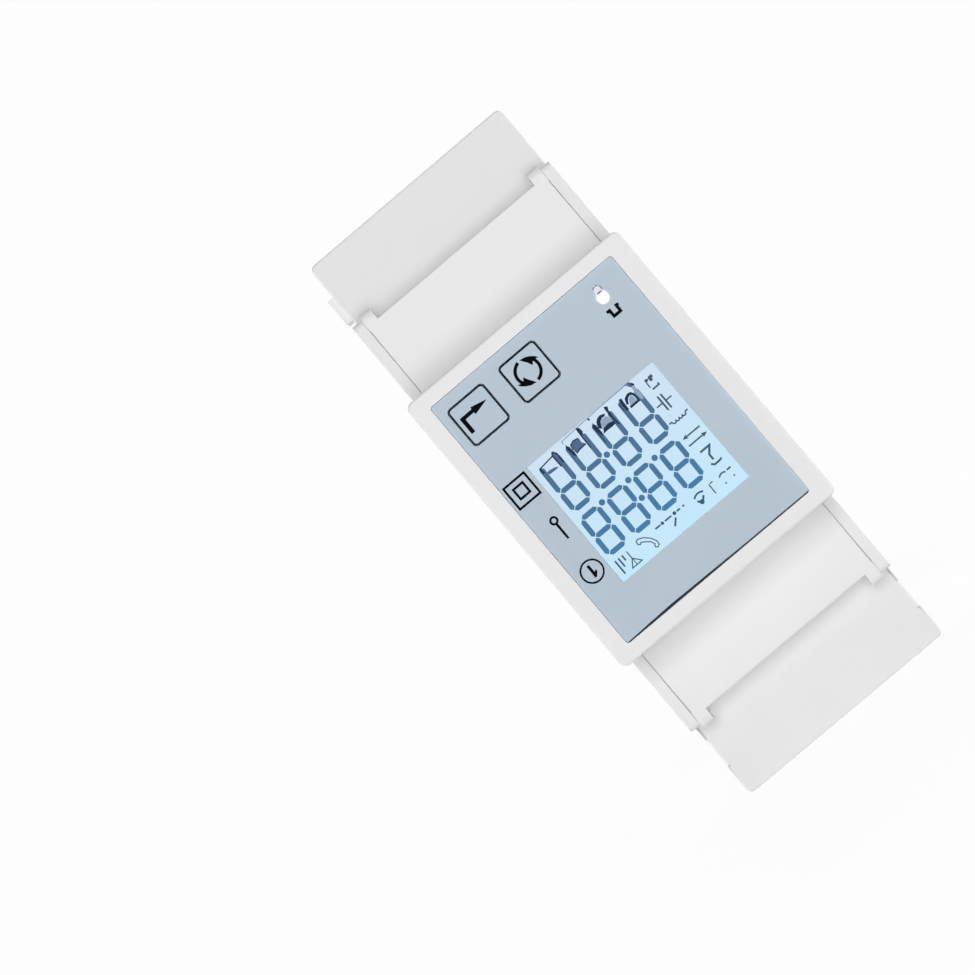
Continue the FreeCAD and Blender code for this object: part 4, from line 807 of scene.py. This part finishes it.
@dataclass
class Display:
    """What the liquid crystal cell shows: two rows of digits and the signs round them.

    Args:
        reach: front of the cell's glass.
        film: thickness of the drawing.
        pale_film: the same for cells that cover it.
        dark_film: the same for shades that cover both.
        half_width: half the distance between a digit's upright bars.
        stroke: width of a bar.
        gap: space left at a bar's pointed end.
        slant: sideways lean for each millimetre of height.
        lean_z: height at which the digits stand at their written place.
        upper_x: middles of the upper digits.
        upper_z: heights of the upper digits' level bars.
        upper_end: height at which their upright bars end.
        lower_x: middles of the lower digits.
        lower_z: heights of the lower digits' level bars.
        dots: places of the points between the digits.
        dot: radius of a point.
    """

    reach: float = 56.7
    film: float = 0.02
    pale_film: float = 0.025
    dark_film: float = 0.03
    half_width: float = 1.35
    stroke: float = 0.71
    gap: float = 0.08
    slant: float = 0.02
    lean_z: float = -6.74
    upper_x: tuple[float, ...] = (-8.47, -4.08, 0.42, 4.94)
    upper_z: tuple[float, ...] = (-2.3, 0.6)
    upper_end: float = 4.9
    lower_x: tuple[float, ...] = (-8.54, -4.15, 0.32, 4.81)
    lower_z: tuple[float, ...] = (-9.65, -6.74, -3.8)
    dots: tuple[Point, ...] = ((-1.79, 0.55), (-6.3, -3.8), (-1.8, -3.8), (2.7, -3.8),
                               (-1.94, -6.7))
    dot: float = 0.42

    def build(self) -> list[Piece]:
        """Draw the digits, the painted shade over the upper digits' tops and the signs.

        Returns:
            The drawn pieces.
        """
        return [art.finish(name, finish, Body.CASE, "display_glass") for name, finish, art in (
            ("lcd_digits", SEGMENT, self.digits()),
            ("lcd_shaded_tops", DARK_SEGMENT, self.shaded_tops()),
            # Painted shade over the upper digits' tops, in a middle and a faint tone
            ("lcd_painted_mid_shade", MID_SHADE_CRYSTAL, self.mid_shade_cells()),
            ("lcd_painted_faint_shade", FAINT_SHADE_CRYSTAL, self.faint_shade_cells()),
            ("lcd_side_signs", SIGN, self.side_signs()),
            ("lcd_foot_signs", SIGN, self.foot_signs()))]

    def lean(self, x: float, z: float) -> Vector:
        """Shift a point sideways with the digits' slant."""
        return Vector((x + self.slant * (z - self.lean_z), z))

    def at(self, digit: int, points: list[Point]) -> list[Point]:
        """Place points that count from the middle of an upper digit."""
        return [(self.upper_x[digit] + x, z) for x, z in points]

    def bar(self, art: Artwork, start: Point, end: Point) -> None:
        """Draw one bar with pointed ends between two corners of a digit.

        Args:
            art: the drawing.
            start: one corner.
            end: the other.
        """
        first, last = self.lean(*start), self.lean(*end)
        along = (last - first).normalized()
        across = Vector((-along.y, along.x)) * self.stroke / 2
        tip = along * self.gap
        shoulder = along * (self.gap + self.stroke / 2)
        art.polygon(*(tuple(point) for point in (
            first + tip, first + shoulder + across, last - shoulder + across,
            last - tip, last - shoulder - across, first + shoulder - across)))

    def digit(self, art: Artwork, x: float, levels: tuple[float, ...]) -> None:
        """Draw a digit's bars at its levels and between them.

        Args:
            art: the drawing.
            x: the digit's middle.
            levels: heights of its level bars, lowest first.
        """
        left, right = x - self.half_width, x + self.half_width
        for z in levels:
            self.bar(art, (left, z), (right, z))
        for low, high in zip(levels, levels[1:]):
            self.bar(art, (left, low), (left, high))
            self.bar(art, (right, low), (right, high))

    def digits(self) -> Artwork:
        """Draw every full bar and point.

        Returns:
            The drawing.
        """
        art = Artwork(self.reach, self.film)
        for x in self.lower_x:
            self.digit(art, x, self.lower_z)
        for x in self.upper_x:
            self.digit(art, x, self.upper_z)
            for side in (x - self.half_width, x + self.half_width):
                self.bar(art, (side, self.upper_z[-1]), (side, self.upper_end))
        return art.draw(disc=[(x, z, self.dot) for x, z in self.dots])

    def shaded_tops(self) -> Artwork:
        """Draw the dark ends, arches and lines at the top of the upper digits.

        Returns:
            The drawing.
        """
        return Artwork(self.reach, self.dark_film).draw(polygon=(
            self.at(1, [(-1.3, 4.6), (-1.07, 5.0), (-0.85, 4.5), (-0.72, 3.6), (-0.78, 2.8),
                        (-1.1, 3.3)]),
            self.at(1, [(1.35, 5.85), (1.75, 5.6), (1.85, 4.95), (1.45, 4.5), (1.25, 5.2)]),
            self.at(2, [(-1.25, 4.65), (-0.98, 4.92), (-0.88, 4.2), (-0.8, 3.2), (-1.05, 2.7),
                        (-1.2, 3.5)]),
            self.at(2, [(-0.84, 3.9), (-0.58, 4.62), (-0.18, 4.98), (0.37, 5.1), (1.05, 4.85),
                        (0.85, 4.6), (0.35, 4.62), (-0.05, 4.38), (-0.33, 3.9), (-0.48, 3.5)]),
            self.at(2, [(-0.76, 2.88), (-0.36, 3.45), (0.5, 3.58), (1.3, 3.42), (1.38, 2.95),
                        (0.7, 2.88), (-0.1, 2.93)]),
            self.at(2, [(1.42, 5.6), (1.92, 5.35), (1.72, 4.9), (1.62, 3.9), (1.7, 2.4),
                        (1.45, 2.7), (1.36, 4.0), (1.36, 5.0)]),
            self.at(3, [(-0.97, 5.05), (-0.55, 4.95), (-0.62, 4.3), (-0.68, 3.2), (-1.02, 3.2),
                        (-1.08, 4.2)]),
            self.at(3, [(-0.56, 3.9), (-0.25, 4.65), (0.4, 4.95), (0.88, 4.85), (1.18, 4.4),
                        (1.24, 3.1), (1.06, 3.1), (1.0, 3.8), (0.85, 4.35), (0.58, 4.55),
                        (0.2, 4.42), (-0.1, 4.1), (-0.28, 3.7)]),
            self.at(3, [(1.55, 5.75), (1.75, 5.72), (1.98, 5.3), (1.8, 5.15), (1.6, 5.35)]),
        ), ribbon=(
            (self.at(0, [(-1.28, 4.76), (1.1, 5.0), (1.36, 5.45)]), 0.18),
            (self.at(0, [(-1.28, 4.8), (-1.17, 3.95)]), 0.28),
            (self.at(0, [(1.12, 4.95), (1.16, 3.2)]), 0.2),
            (self.at(0, [(1.42, 5.4), (1.76, 4.9), (1.74, 3.4)]), 0.2),
            (self.at(1, [(-0.68, 3.9), (-0.54, 4.55), (0.1, 4.78), (0.8, 4.62)]), 0.16),
            (self.at(1, [(-0.62, 3.22), (0, 3.36), (1.1, 3.42)]), 0.17),
            (self.at(1, [(1.34, 5.0), (1.28, 2.6)]), 0.18),
            (self.at(2, [(-1.3, 4.6), (-1.24, 1.8)]), 0.12),
            (self.at(3, [(-0.38, 3.27), (1.15, 3.3)]), 0.32),
            (self.at(3, [(-1.32, 4.7), (-1.28, 3.4)]), 0.12),
            (self.at(2, [(-1.12, 5.75), (-1.04, 5.45)]), 0.26)))

    def mid_shade_cells(self) -> Artwork:
        """Fill the second digit's top cell with painted shade and tone the first digit's with it.

        Returns:
            The drawing.
        """
        return Artwork(self.reach, self.pale_film).draw(polygon=(
            self.at(0, [(1.1, 5.05), (1.4, 5.5), (1.6, 5.4), (1.8, 4.75), (1.78, 3.9), (1.5, 3.3),
                        (1.15, 3.4)]),
            self.at(0, [(-0.85, 3.72), (-0.6, 3.87), (0.4, 3.7), (0.88, 3.4), (0.3, 3.33),
                        (-0.7, 3.4)]),
            self.at(1, [(-0.54, 4.6), (0.1, 4.77), (0.85, 4.56), (0.84, 4.29), (0.79, 3.9),
                        (1.14, 3.47), (0.61, 3.34), (-0.09, 3.36), (-0.62, 3.24),
                        (-0.69, 4.01)]),
            self.at(3, [(0.86, 3.35), (0.95, 4.2), (1.06, 4.2), (1.1, 3.35)]),
            self.at(3, [(0.8, 5.95), (1.2, 6.05), (1.56, 5.95), (1.75, 5.6), (1.62, 5.2),
                        (1.3, 5.3), (1.1, 5.6)])))

    def faint_shade_cells(self) -> Artwork:
        """Draw the palest parts: two cells and the line over three digits in painted shade, and a
        pale bar end.

        Returns:
            The drawing.
        """
        return Artwork(self.reach, self.pale_film).draw(polygon=(
            self.at(2, [(-0.42, 3.45), (-0.3, 4.0), (0.2, 4.5), (0.85, 4.55), (1.15, 4.2),
                        (1.2, 3.5), (0.5, 3.5)]),
            self.at(3, [(-0.28, 3.42), (0.1, 4.2), (0.6, 4.5), (0.84, 4.2), (0.8, 3.4)]),
            self.at(3, [(1.35, 5.35), (1.82, 5.15), (1.85, 3.4), (1.6, 3.0), (1.32, 3.3)]),
        ), ribbon=(
            ([(-5.32, 5.2), (-5.22, 5.66), (-2.6, 5.78), (1.5, 5.9), (6.1, 5.92)], 0.15),
        ), disc=((6.05, 5.9, 0.2, 12),))

    def side_signs(self) -> Artwork:
        """Draw the column of signs at the right: parts of a circuit, arrows and a sum sign.

        Returns:
            The drawing.
        """
        return Artwork(self.reach, self.film).draw(ribbon=(
            ([(8.75, 4.62), (8.35, 4.62), (8.2, 4.3), (8.2, 3.55)], 0.18),
            ([(8.3, 3.2), (9.35, 3.2), (9.35, 3.5)], 0.24),
            ([(7.7, -7.1), (9.25, -7.1), (8.45, -8.05), (8.45, -8.9)], 0.3),
            ([(7.8, -9.15), (8.15, -9.5), (8.9, -9.5), (9.4, -9.4)], 0.28),
        ), bar=(
            (9.1, 4.68, 0.66, 0.42), (8.13, 0.95, 0.26, 2.3), (8.66, 0.95, 0.26, 2.3),
            (7.64, 1.0, 0.98, 0.2), (9.15, 1.0, 0.98, 0.2), (7.225, -1.7, 0.45, 0.22),
            (9.86, -1.7, 0.48, 0.22), (8.6, -4.37, 2.6, 0.22), (8.5, -5.55, 2.8, 0.22),
        ), disc=(
            (8.35, 4.62, 0.24, 12), (8.95, 4.35, 0.24, 12),
        ), arc=[
            (7.72 + 0.54 * turn, -1.8, 0.27, 0.2, 165, 210) for turn in range(4)
        ], polygon=(
            [(7.0, -4.37), (7.8, -4.72), (7.6, -4.37), (7.8, -4.02)],
            [(10.15, -5.55), (9.35, -5.2), (9.5, -5.55), (9.35, -5.9)]))

    def foot_signs(self) -> Artwork:
        """Draw the row of signs below: signal bars, aerial, handset, contact and clocks.

        Returns:
            The drawing.
        """
        return Artwork(self.reach, self.film).draw(bar=(
            (-9.96, -11.825, 0.24, 2.15), (-9.4, -11.45, 0.24, 1.4), (-8.8, -11.175, 0.24, 0.85),
            (-8.0, -11.3, 0.16, 1.1), (-7.98, -12.42, 0.13, 0.86), (-2.795, -10.97, 0.89, 0.24),
            (-1.05, -10.97, 1.1, 0.24), (0.7, -10.97, 0.56, 0.24), (1.54, -10.97, 0.28, 0.24),
            (5.85, -11.75, 0.17, 1.5), (6.25, -11.0, 0.5, 0.16), (9.2, -11.05, 0.66, 0.24),
        ), ribbon=(
            ([(-8.0, -11.9), (-8.75, -12.95), (-7.13, -12.95)], 0.16, True),
            ([(-6.27, -11.07), (-6.19, -10.6), (-5.85, -10.48), (-5.12, -10.82), (-4.42, -11.5),
              (-4.05, -12.25), (-4.1, -12.78), (-4.42, -12.95), (-4.69, -12.78), (-4.63, -12.52),
              (-4.48, -12.4), (-4.74, -11.82), (-5.27, -11.39), (-5.8, -11.07),
              (-6.02, -11.24)], 0.15, True),
            ([(-1.0, -12.35), (-0.2, -11.5)], 0.26),
            ([(3.3, -11.7), (3.75, -12.35), (4.45, -11.6)], 0.28),
        ), disc=(
            (-2.02, -10.97, 0.24, 12), (0.02, -10.97, 0.26, 12), (3.75, -12.15, 0.34, 12),
            (7.72, -12.3, 0.13, 8), (9.2, -12.2, 0.13, 8),
        ), arc=(
            (4.0, -12.1, 1.15, 0.26, 50, 84), (8.1, -11.75, 0.8, 0.22, 50, 90)))


@dataclass
class PlatePrint:
    """Signs printed on the faceplate, with a painted shadow along its foot and painted light
    round the lamp.

    Args:
        reach: front of the plate.
        film: thickness of the ink.
    """

    reach: float = 57.7
    film: float = 0.012

    def build(self) -> list[Piece]:
        """Print the signs and the arc over the lamp, and paint the shadow along the foot and the
        lamp's light.

        Returns:
            The prints.
        """
        return [art.finish(name, finish, Body.CASE, slot) for name, finish, slot, art in (
            ("plate_print", INK, "part_black", self.signs()),
            # A painted shadow along the plate's foot
            ("plate_painted_foot_shadow", FOOT_SHADOW_PAINT, "part_black", self.paint_foot_shadow()),
            # Painted light of the lamp, round it and above it
            ("lamp_light_painted_on_plate", LAMP_LIGHT_PAINT, "plate_grey", self.paint_lamp_light()),
            ("lamp_arc_print", GREY_INK, "part_black", self.lamp_arc()))]

    def signs(self) -> Artwork:
        """Draw the double square, the circle on a stem, the ringed stroke and the pulse.

        Returns:
            The drawing.
        """
        return Artwork(self.reach, self.film).draw(
            frame_line=((-13.27, 4.06, 3.76, 3.72, 0.31), (-13.28, 4.1, 1.9, 1.88, 0.32)),
            ring=((-12.58, -1.6, 0.61, 0.29), (-13.0, -9.82, 1.65, 0.25)),
            bar=((-12.58, -3.35, 0.33, 2.48),),
            polygon=([(-13.2, -8.9), (-12.8, -8.9), (-12.8, -10.05), (-12.45, -9.9),
                      (-12.45, -10.24), (-12.93, -10.76), (-13.2, -10.76)],),
            ribbon=(([(10.1, 14.6), (10.6, 14.6), (10.6, 13.67), (11.7, 13.67), (11.7, 14.6),
                      (12.1, 14.6)], 0.42),))

    def paint_foot_shadow(self) -> Artwork:
        """Draw the painted shadow along the plate's foot.

        Returns:
            The drawing.
        """
        return Artwork(self.reach, self.film).draw(polygon=(
            [(-15.3, -19.99), (15.1, -19.99), (15.1, -19.86), (5.0, -19.83), (-3.0, -19.72),
             (-8.0, -19.66), (-12.0, -19.76), (-15.3, -19.87)],))

    def paint_lamp_light(self) -> Artwork:
        """Draw the painted light of the lamp: a ring round it and a spot above it."""
        return Artwork(self.reach, self.film).draw(ring=((11.05, 16.45, 0.92, 0.12),),
                                                   disc=((11.12, 17.62, 0.54),))

    def lamp_arc(self) -> Artwork:
        """Draw the broken arc over the spot.

        Returns:
            The drawing.
        """
        return Artwork(self.reach, self.film).draw(arc=(
            (11.12, 17.66, 0.58, 0.13, -28, 58), (11.12, 17.68, 0.6, 0.13, 52, 34),
            (11.1, 17.68, 0.6, 0.13, 100, 40)))


@dataclass
class KeyPrint:
    """Signs and border lines printed on the two keys.

    Args:
        enter_x: middle of the enter key.
        cycle_x: middle of the cycle key.
        key_z: height of both.
        side: width of the border line's outside.
        corner: radius of its corners.
        line: width of the border line.
        reach: front of the keys.
        film: thickness of the ink.
    """

    enter_x: float = -11.2
    cycle_x: float = -2.5
    key_z: float = 15.27
    side: float = 5.98
    corner: float = 0.6
    line: float = 0.21
    reach: float = 57.7
    film: float = 0.012

    def build(self) -> list[Piece]:
        """Print both keys."""
        return [self.enter(), self.cycle()]

    def border(self, x: float) -> Artwork:
        """Start a key's drawing with the line round its edge."""
        edge = (x, self.key_z, self.side, self.side, self.line, self.corner)
        return Artwork(self.reach, self.film).draw(frame_line=(edge,))

    def enter(self) -> Piece:
        """Print the arrow that turns right.

        Returns:
            The key's print.
        """
        return self.border(self.enter_x).draw(polygon=(
            [(-13.48, 13.93), (-12.89, 13.93), (-12.89, 15.92), (-11.4, 15.92), (-11.4, 16.44),
             (-13.48, 16.44)],
            [(-11.43, 15.6), (-9.05, 16.17), (-11.43, 16.74)],
        )).finish("enter_key_print", INK, Body.ENTER_KEY, "part_black")

    def cycle(self) -> Piece:
        """Print the two arrows that chase each other.

        Returns:
            The key's print.
        """
        art = self.border(self.cycle_x)
        middle = Vector((-2.6, 15.45))
        head = [Vector(point) for point in (
            (-4.83, 14.93), (-4.55, 14.5), (-4.1, 14.13), (-3.46, 13.78), (-2.62, 13.62),
            (-3.2, 14.47), (-3.6, 15.24), (-3.98, 14.78), (-4.4, 14.8))]
        for turn, sign in ((0, 1), (180, -1)):
            art.arc(*middle, radius=1.7, stroke=0.44, start_deg=101 + turn, sweep_deg=108)
            art.polygon(*(tuple(middle + (point - middle) * sign) for point in head))
        return art.finish("cycle_key_print", INK, Body.CYCLE_KEY, "part_black")


@dataclass
class Shell:
    """The moulded outside, with its edges eased as a mould leaves them.

    Args:
        edge: size of an eased edge.
    """

    edge: float = 0.045

    def build(self) -> list[Piece]:
        """Ease the housings, the covers and the rail clip.

        Returns:
            The eased copies.
        """
        return [piece.build() for piece in (
            EasedNode("rear_housing", Body.CASE, HOUSING, "housing_white", self.edge),
            EasedNode("front_housing", Body.CASE, HOUSING, "housing_white", self.edge),
            EasedNode("top_terminal_cover", Body.TOP_COVER, COVER, "cover_white", self.edge,
                      alike=True),
            EasedNode("bottom_terminal_cover", Body.BOTTOM_COVER, COVER, "cover_white", self.edge,
                      alike=True),
            EasedNode("din_clip", Body.CLIP, CLIP, "clip_dark", self.edge))]


@dataclass
class ClipSpring:
    """The rail clip's coil spring, which rides on the case.

    Args:
        travel: how far the clip slides down; not used.
        smooth_deg: shade smooth over edges below this angle.
    """

    travel: float = 3.5
    smooth_deg: float = 50.0

    def build(self) -> list[Piece]:
        """Copy the spring onto the case and hide its node.

        Returns:
            The spring alone.
        """
        spring = publish(copy_node("din_clip_spring"), "din_clip_coil", WIRE, Body.CASE,
                         self.smooth_deg)
        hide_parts("din_clip_spring")
        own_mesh(spring)
        return [spring]


@dataclass(frozen=True)
class Lamp:
    """One large square lamp that faces the object.

    Args:
        name: its name.
        power: its power in watts.
        size: its side in millimetres.
        place: where it hangs.
    """

    name: str
    power: float
    size: float
    place: Triple

    def hang(self) -> None:
        """Add the lamp to the scene, without a mirror image in glossy pieces."""
        light = bpy.data.lights.new(self.name, "AREA")
        light.energy = self.power
        light.size = self.size * MM
        lamp = bpy.data.objects.new(self.name, light)
        lamp.location = Vector(self.place) * MM
        lamp.rotation_mode = "QUATERNION"
        lamp.rotation_quaternion = (-Vector(self.place)).to_track_quat("-Z", "Y")
        lamp.visible_glossy = False
        bpy.context.scene.collection.objects.link(lamp)


@dataclass
class Studio:
    """Pale floor, soft light and the photograph's camera.

    Args:
        floor_z: height of the floor, at the lower end of the case.
        floor_half: half its side.
        near: distance up to which the floor shows its own shade.
        far: distance from which it is plain white.
        near_share: how much of that white the floor has close to the object.
        white: strength of the white ground.
        near_white: the same close to the object, where the floor's own grey is mixed in.
        shade: how much light the paper gives back, in the gaps and on the fibres.
        fibre_mm: size of the paper's fibres.
        fill: strength of the light from all round.
        lamps: two behind the camera, one behind the object, one at each side and one
            past each end.
        sensor: width of the camera's sensor.
        lens: its focal length.
        shift: sideways and upward shift of the lens.
        eye: place of the camera.
        turn_deg: turn of the camera about X, Y and Z.
        clip: distance from which the camera sees.
    """

    floor_z: float = -49.5
    floor_half: float = 2500.0
    near: float = 55.0
    far: float = 130.0
    near_share: float = 0.75
    white: float = 0.985
    near_white: float = 1.155
    shade: tuple[float, float] = (0.69, 0.71)
    fibre_mm: float = 2.5
    fill: float = 0.12
    lamps: tuple[Lamp, ...] = (
        Lamp("upper_key_lamp", 1.215, 195, (0, -600, 132)),
        Lamp("lower_key_lamp", 1.215, 195, (0, -600, -132)),
        Lamp("back_lamp", 2.0, 600, (300, 900, 60)),
        Lamp("left_lamp", 1.6, 300, (-600, 60, 0)),
        Lamp("right_lamp", 1.6, 300, (600, 60, 0)),
        Lamp("top_lamp", 1.5, 300, (0, 450, 560)),
        Lamp("low_lamp", 1.5, 300, (0, 450, -560)))
    sensor: float = 36.0
    lens: float = 52.25
    shift: tuple[float, float] = (-0.1415, -0.0391)
    eye: Triple = (3.64, -241.5, -4.62)
    turn_deg: Triple = (91.6746, 40.1571, 2.0505)
    clip: float = 10.0

    def build(self) -> list[Piece]:
        """Set up the light, the camera and the floor.

        Returns:
            The floor alone.
        """
        bpy.context.scene.view_settings.view_transform = "Standard"
        self.world()
        for lamp in self.lamps:
            lamp.hang()
        self.camera()
        return [self.floor()]

    def white_share(self, owner: Material | World) -> Socket:
        """Tell the rays that see the ground directly, in gloss or through glass.

        Args:
            owner: the material or the world in the making.

        Returns:
            1 for those rays and 0 for all others.
        """
        path = add_node(owner, "LightPath").outputs
        seen = path["Is Camera Ray"]
        for also in ("Is Glossy Ray", "Is Transmission Ray"):
            seen = add_node(owner, "Math", fields={"operation": "MAXIMUM"},
                            links={0: seen, 1: path[also]}).outputs["Value"]
        return seen

    def world(self) -> None:
        """Light the scene evenly from all round, and show white behind it."""
        world = bpy.data.worlds.new("even_studio_light")
        bpy.context.scene.world = world
        world.use_nodes = True
        world.node_tree.nodes.clear()
        strength = add_node(world, "MapRange",
                            sockets={"To Min": self.fill, "To Max": self.white},
                            links={"Value": self.white_share(world)}).outputs["Result"]
        ground = add_node(world, "Background", sockets={"Color": linear("#FFFFFF")},
                          links={"Strength": strength})
        add_node(world, "OutputWorld", links={"Surface": ground.outputs["Background"]})

    def camera(self) -> None:
        """Place the camera at the photograph's view."""
        view = bpy.data.cameras.new("photograph_view")
        view.sensor_width = self.sensor
        view.lens = self.lens
        view.shift_x, view.shift_y = self.shift
        view.clip_start = self.clip * MM
        camera = bpy.data.objects.new("photograph_view", view)
        camera.location = Vector(self.eye) * MM
        camera.rotation_euler = [math.radians(turn) for turn in self.turn_deg]
        bpy.context.scene.collection.objects.link(camera)
        bpy.context.scene.camera = camera

    def floor(self) -> Piece:
        """Lay a pale floor that turns plain white away from the object.

        Returns:
            The floor.
        """
        shape = bmesh.new()
        bmesh.ops.create_grid(shape, x_segments=1, y_segments=1, size=self.floor_half)
        bmesh.ops.translate(shape, vec=(0, 0, self.floor_z), verts=shape.verts)
        floor = make_object(shape, "floor", self.paper())
        # The floor blocks no light, so the lower lamps also light from below it
        floor.visible_shadow = False
        return floor

    def paper(self) -> Material:
        """Make matt background paper, which the eye sees as plain white further out.

        Returns:
            The material.
        """
        made = bpy.data.materials.new("matt_background_paper")
        made.use_nodes = True
        made.node_tree.nodes.clear()
        place = add_node(made, "TexCoord").outputs["Object"]
        away = add_node(made, "VectorMath", fields={"operation": "LENGTH"},
                        links={0: place}).outputs["Value"]
        share, strength = (
            add_node(made, "MapRange",
                     sockets={"From Min": self.near * MM, "From Max": self.far * MM,
                              "To Min": near, "To Max": far},
                     links={"Value": away}).outputs["Result"]
            for near, far in ((self.near_share, 1.0), (self.near_white, self.white)))
        seen = add_node(made, "Math", fields={"operation": "MULTIPLY"},
                        links={0: share, 1: self.white_share(made)}).outputs["Value"]
        fibre = add_node(made, "TexNoise",
                         sockets={"Scale": 1 / (self.fibre_mm * MM), "Detail": 3.0},
                         links={"Vector": place}).outputs["Fac"]
        gap, ridge = self.shade
        shade = add_node(made, "MapRange", sockets={"To Min": gap, "To Max": ridge},
                         links={"Value": fibre}).outputs["Result"]
        matt = add_node(made, "BsdfPrincipled",
                        sockets={"Roughness": 0.9, "Specular IOR Level": 0.1},
                        links={"Base Color": shade}).outputs["BSDF"]
        white = add_node(made, "Emission", sockets={"Color": linear("#FFFFFF")},
                         links={"Strength": strength}).outputs["Emission"]
        upper = add_node(made, "MixShader", links={0: seen, 1: matt, 2: white}).outputs["Shader"]
        # Clear from below, so that a camera under the floor sees the object
        clear = add_node(made, "BsdfTransparent").outputs["BSDF"]
        back = add_node(made, "NewGeometry").outputs["Backfacing"]
        sheet = add_node(made, "MixShader", links={0: back, 1: upper, 2: clear})
        add_node(made, "OutputMaterial", links={"Surface": sheet.outputs["Shader"]})
        return made


@dataclass
class CarriedNodes:
    """The CAD nodes that keep their own shape and get their finish here."""

    def build(self) -> list[Piece]:
        """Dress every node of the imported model.

        Returns:
            The nodes.
        """
        dressed = []
        for name, finish in NODE_FINISH.items():
            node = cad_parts[name]
            for slot in node.material_slots:
                slot.material = finish.material()
            dressed.append(node)
        return dressed


def main() -> None:
    """Build every sub-assembly in order and report what each one made."""
    logging.basicConfig(level=logging.INFO, format="%(name)s: %(message)s")
    missing = set(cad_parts) - set(NODE_FINISH)
    if missing:
        log.warning("no finish for %s", ", ".join(sorted(missing)))
    for assembly in (Studio(), CarriedNodes(), Shell(), ClipSpring(), Display(), PlatePrint(),
                     KeyPrint()):
        for piece in assembly.build():
            log.info("%s made %s", type(assembly).__name__, piece.name)


if __name__ == "__main__":
    main()
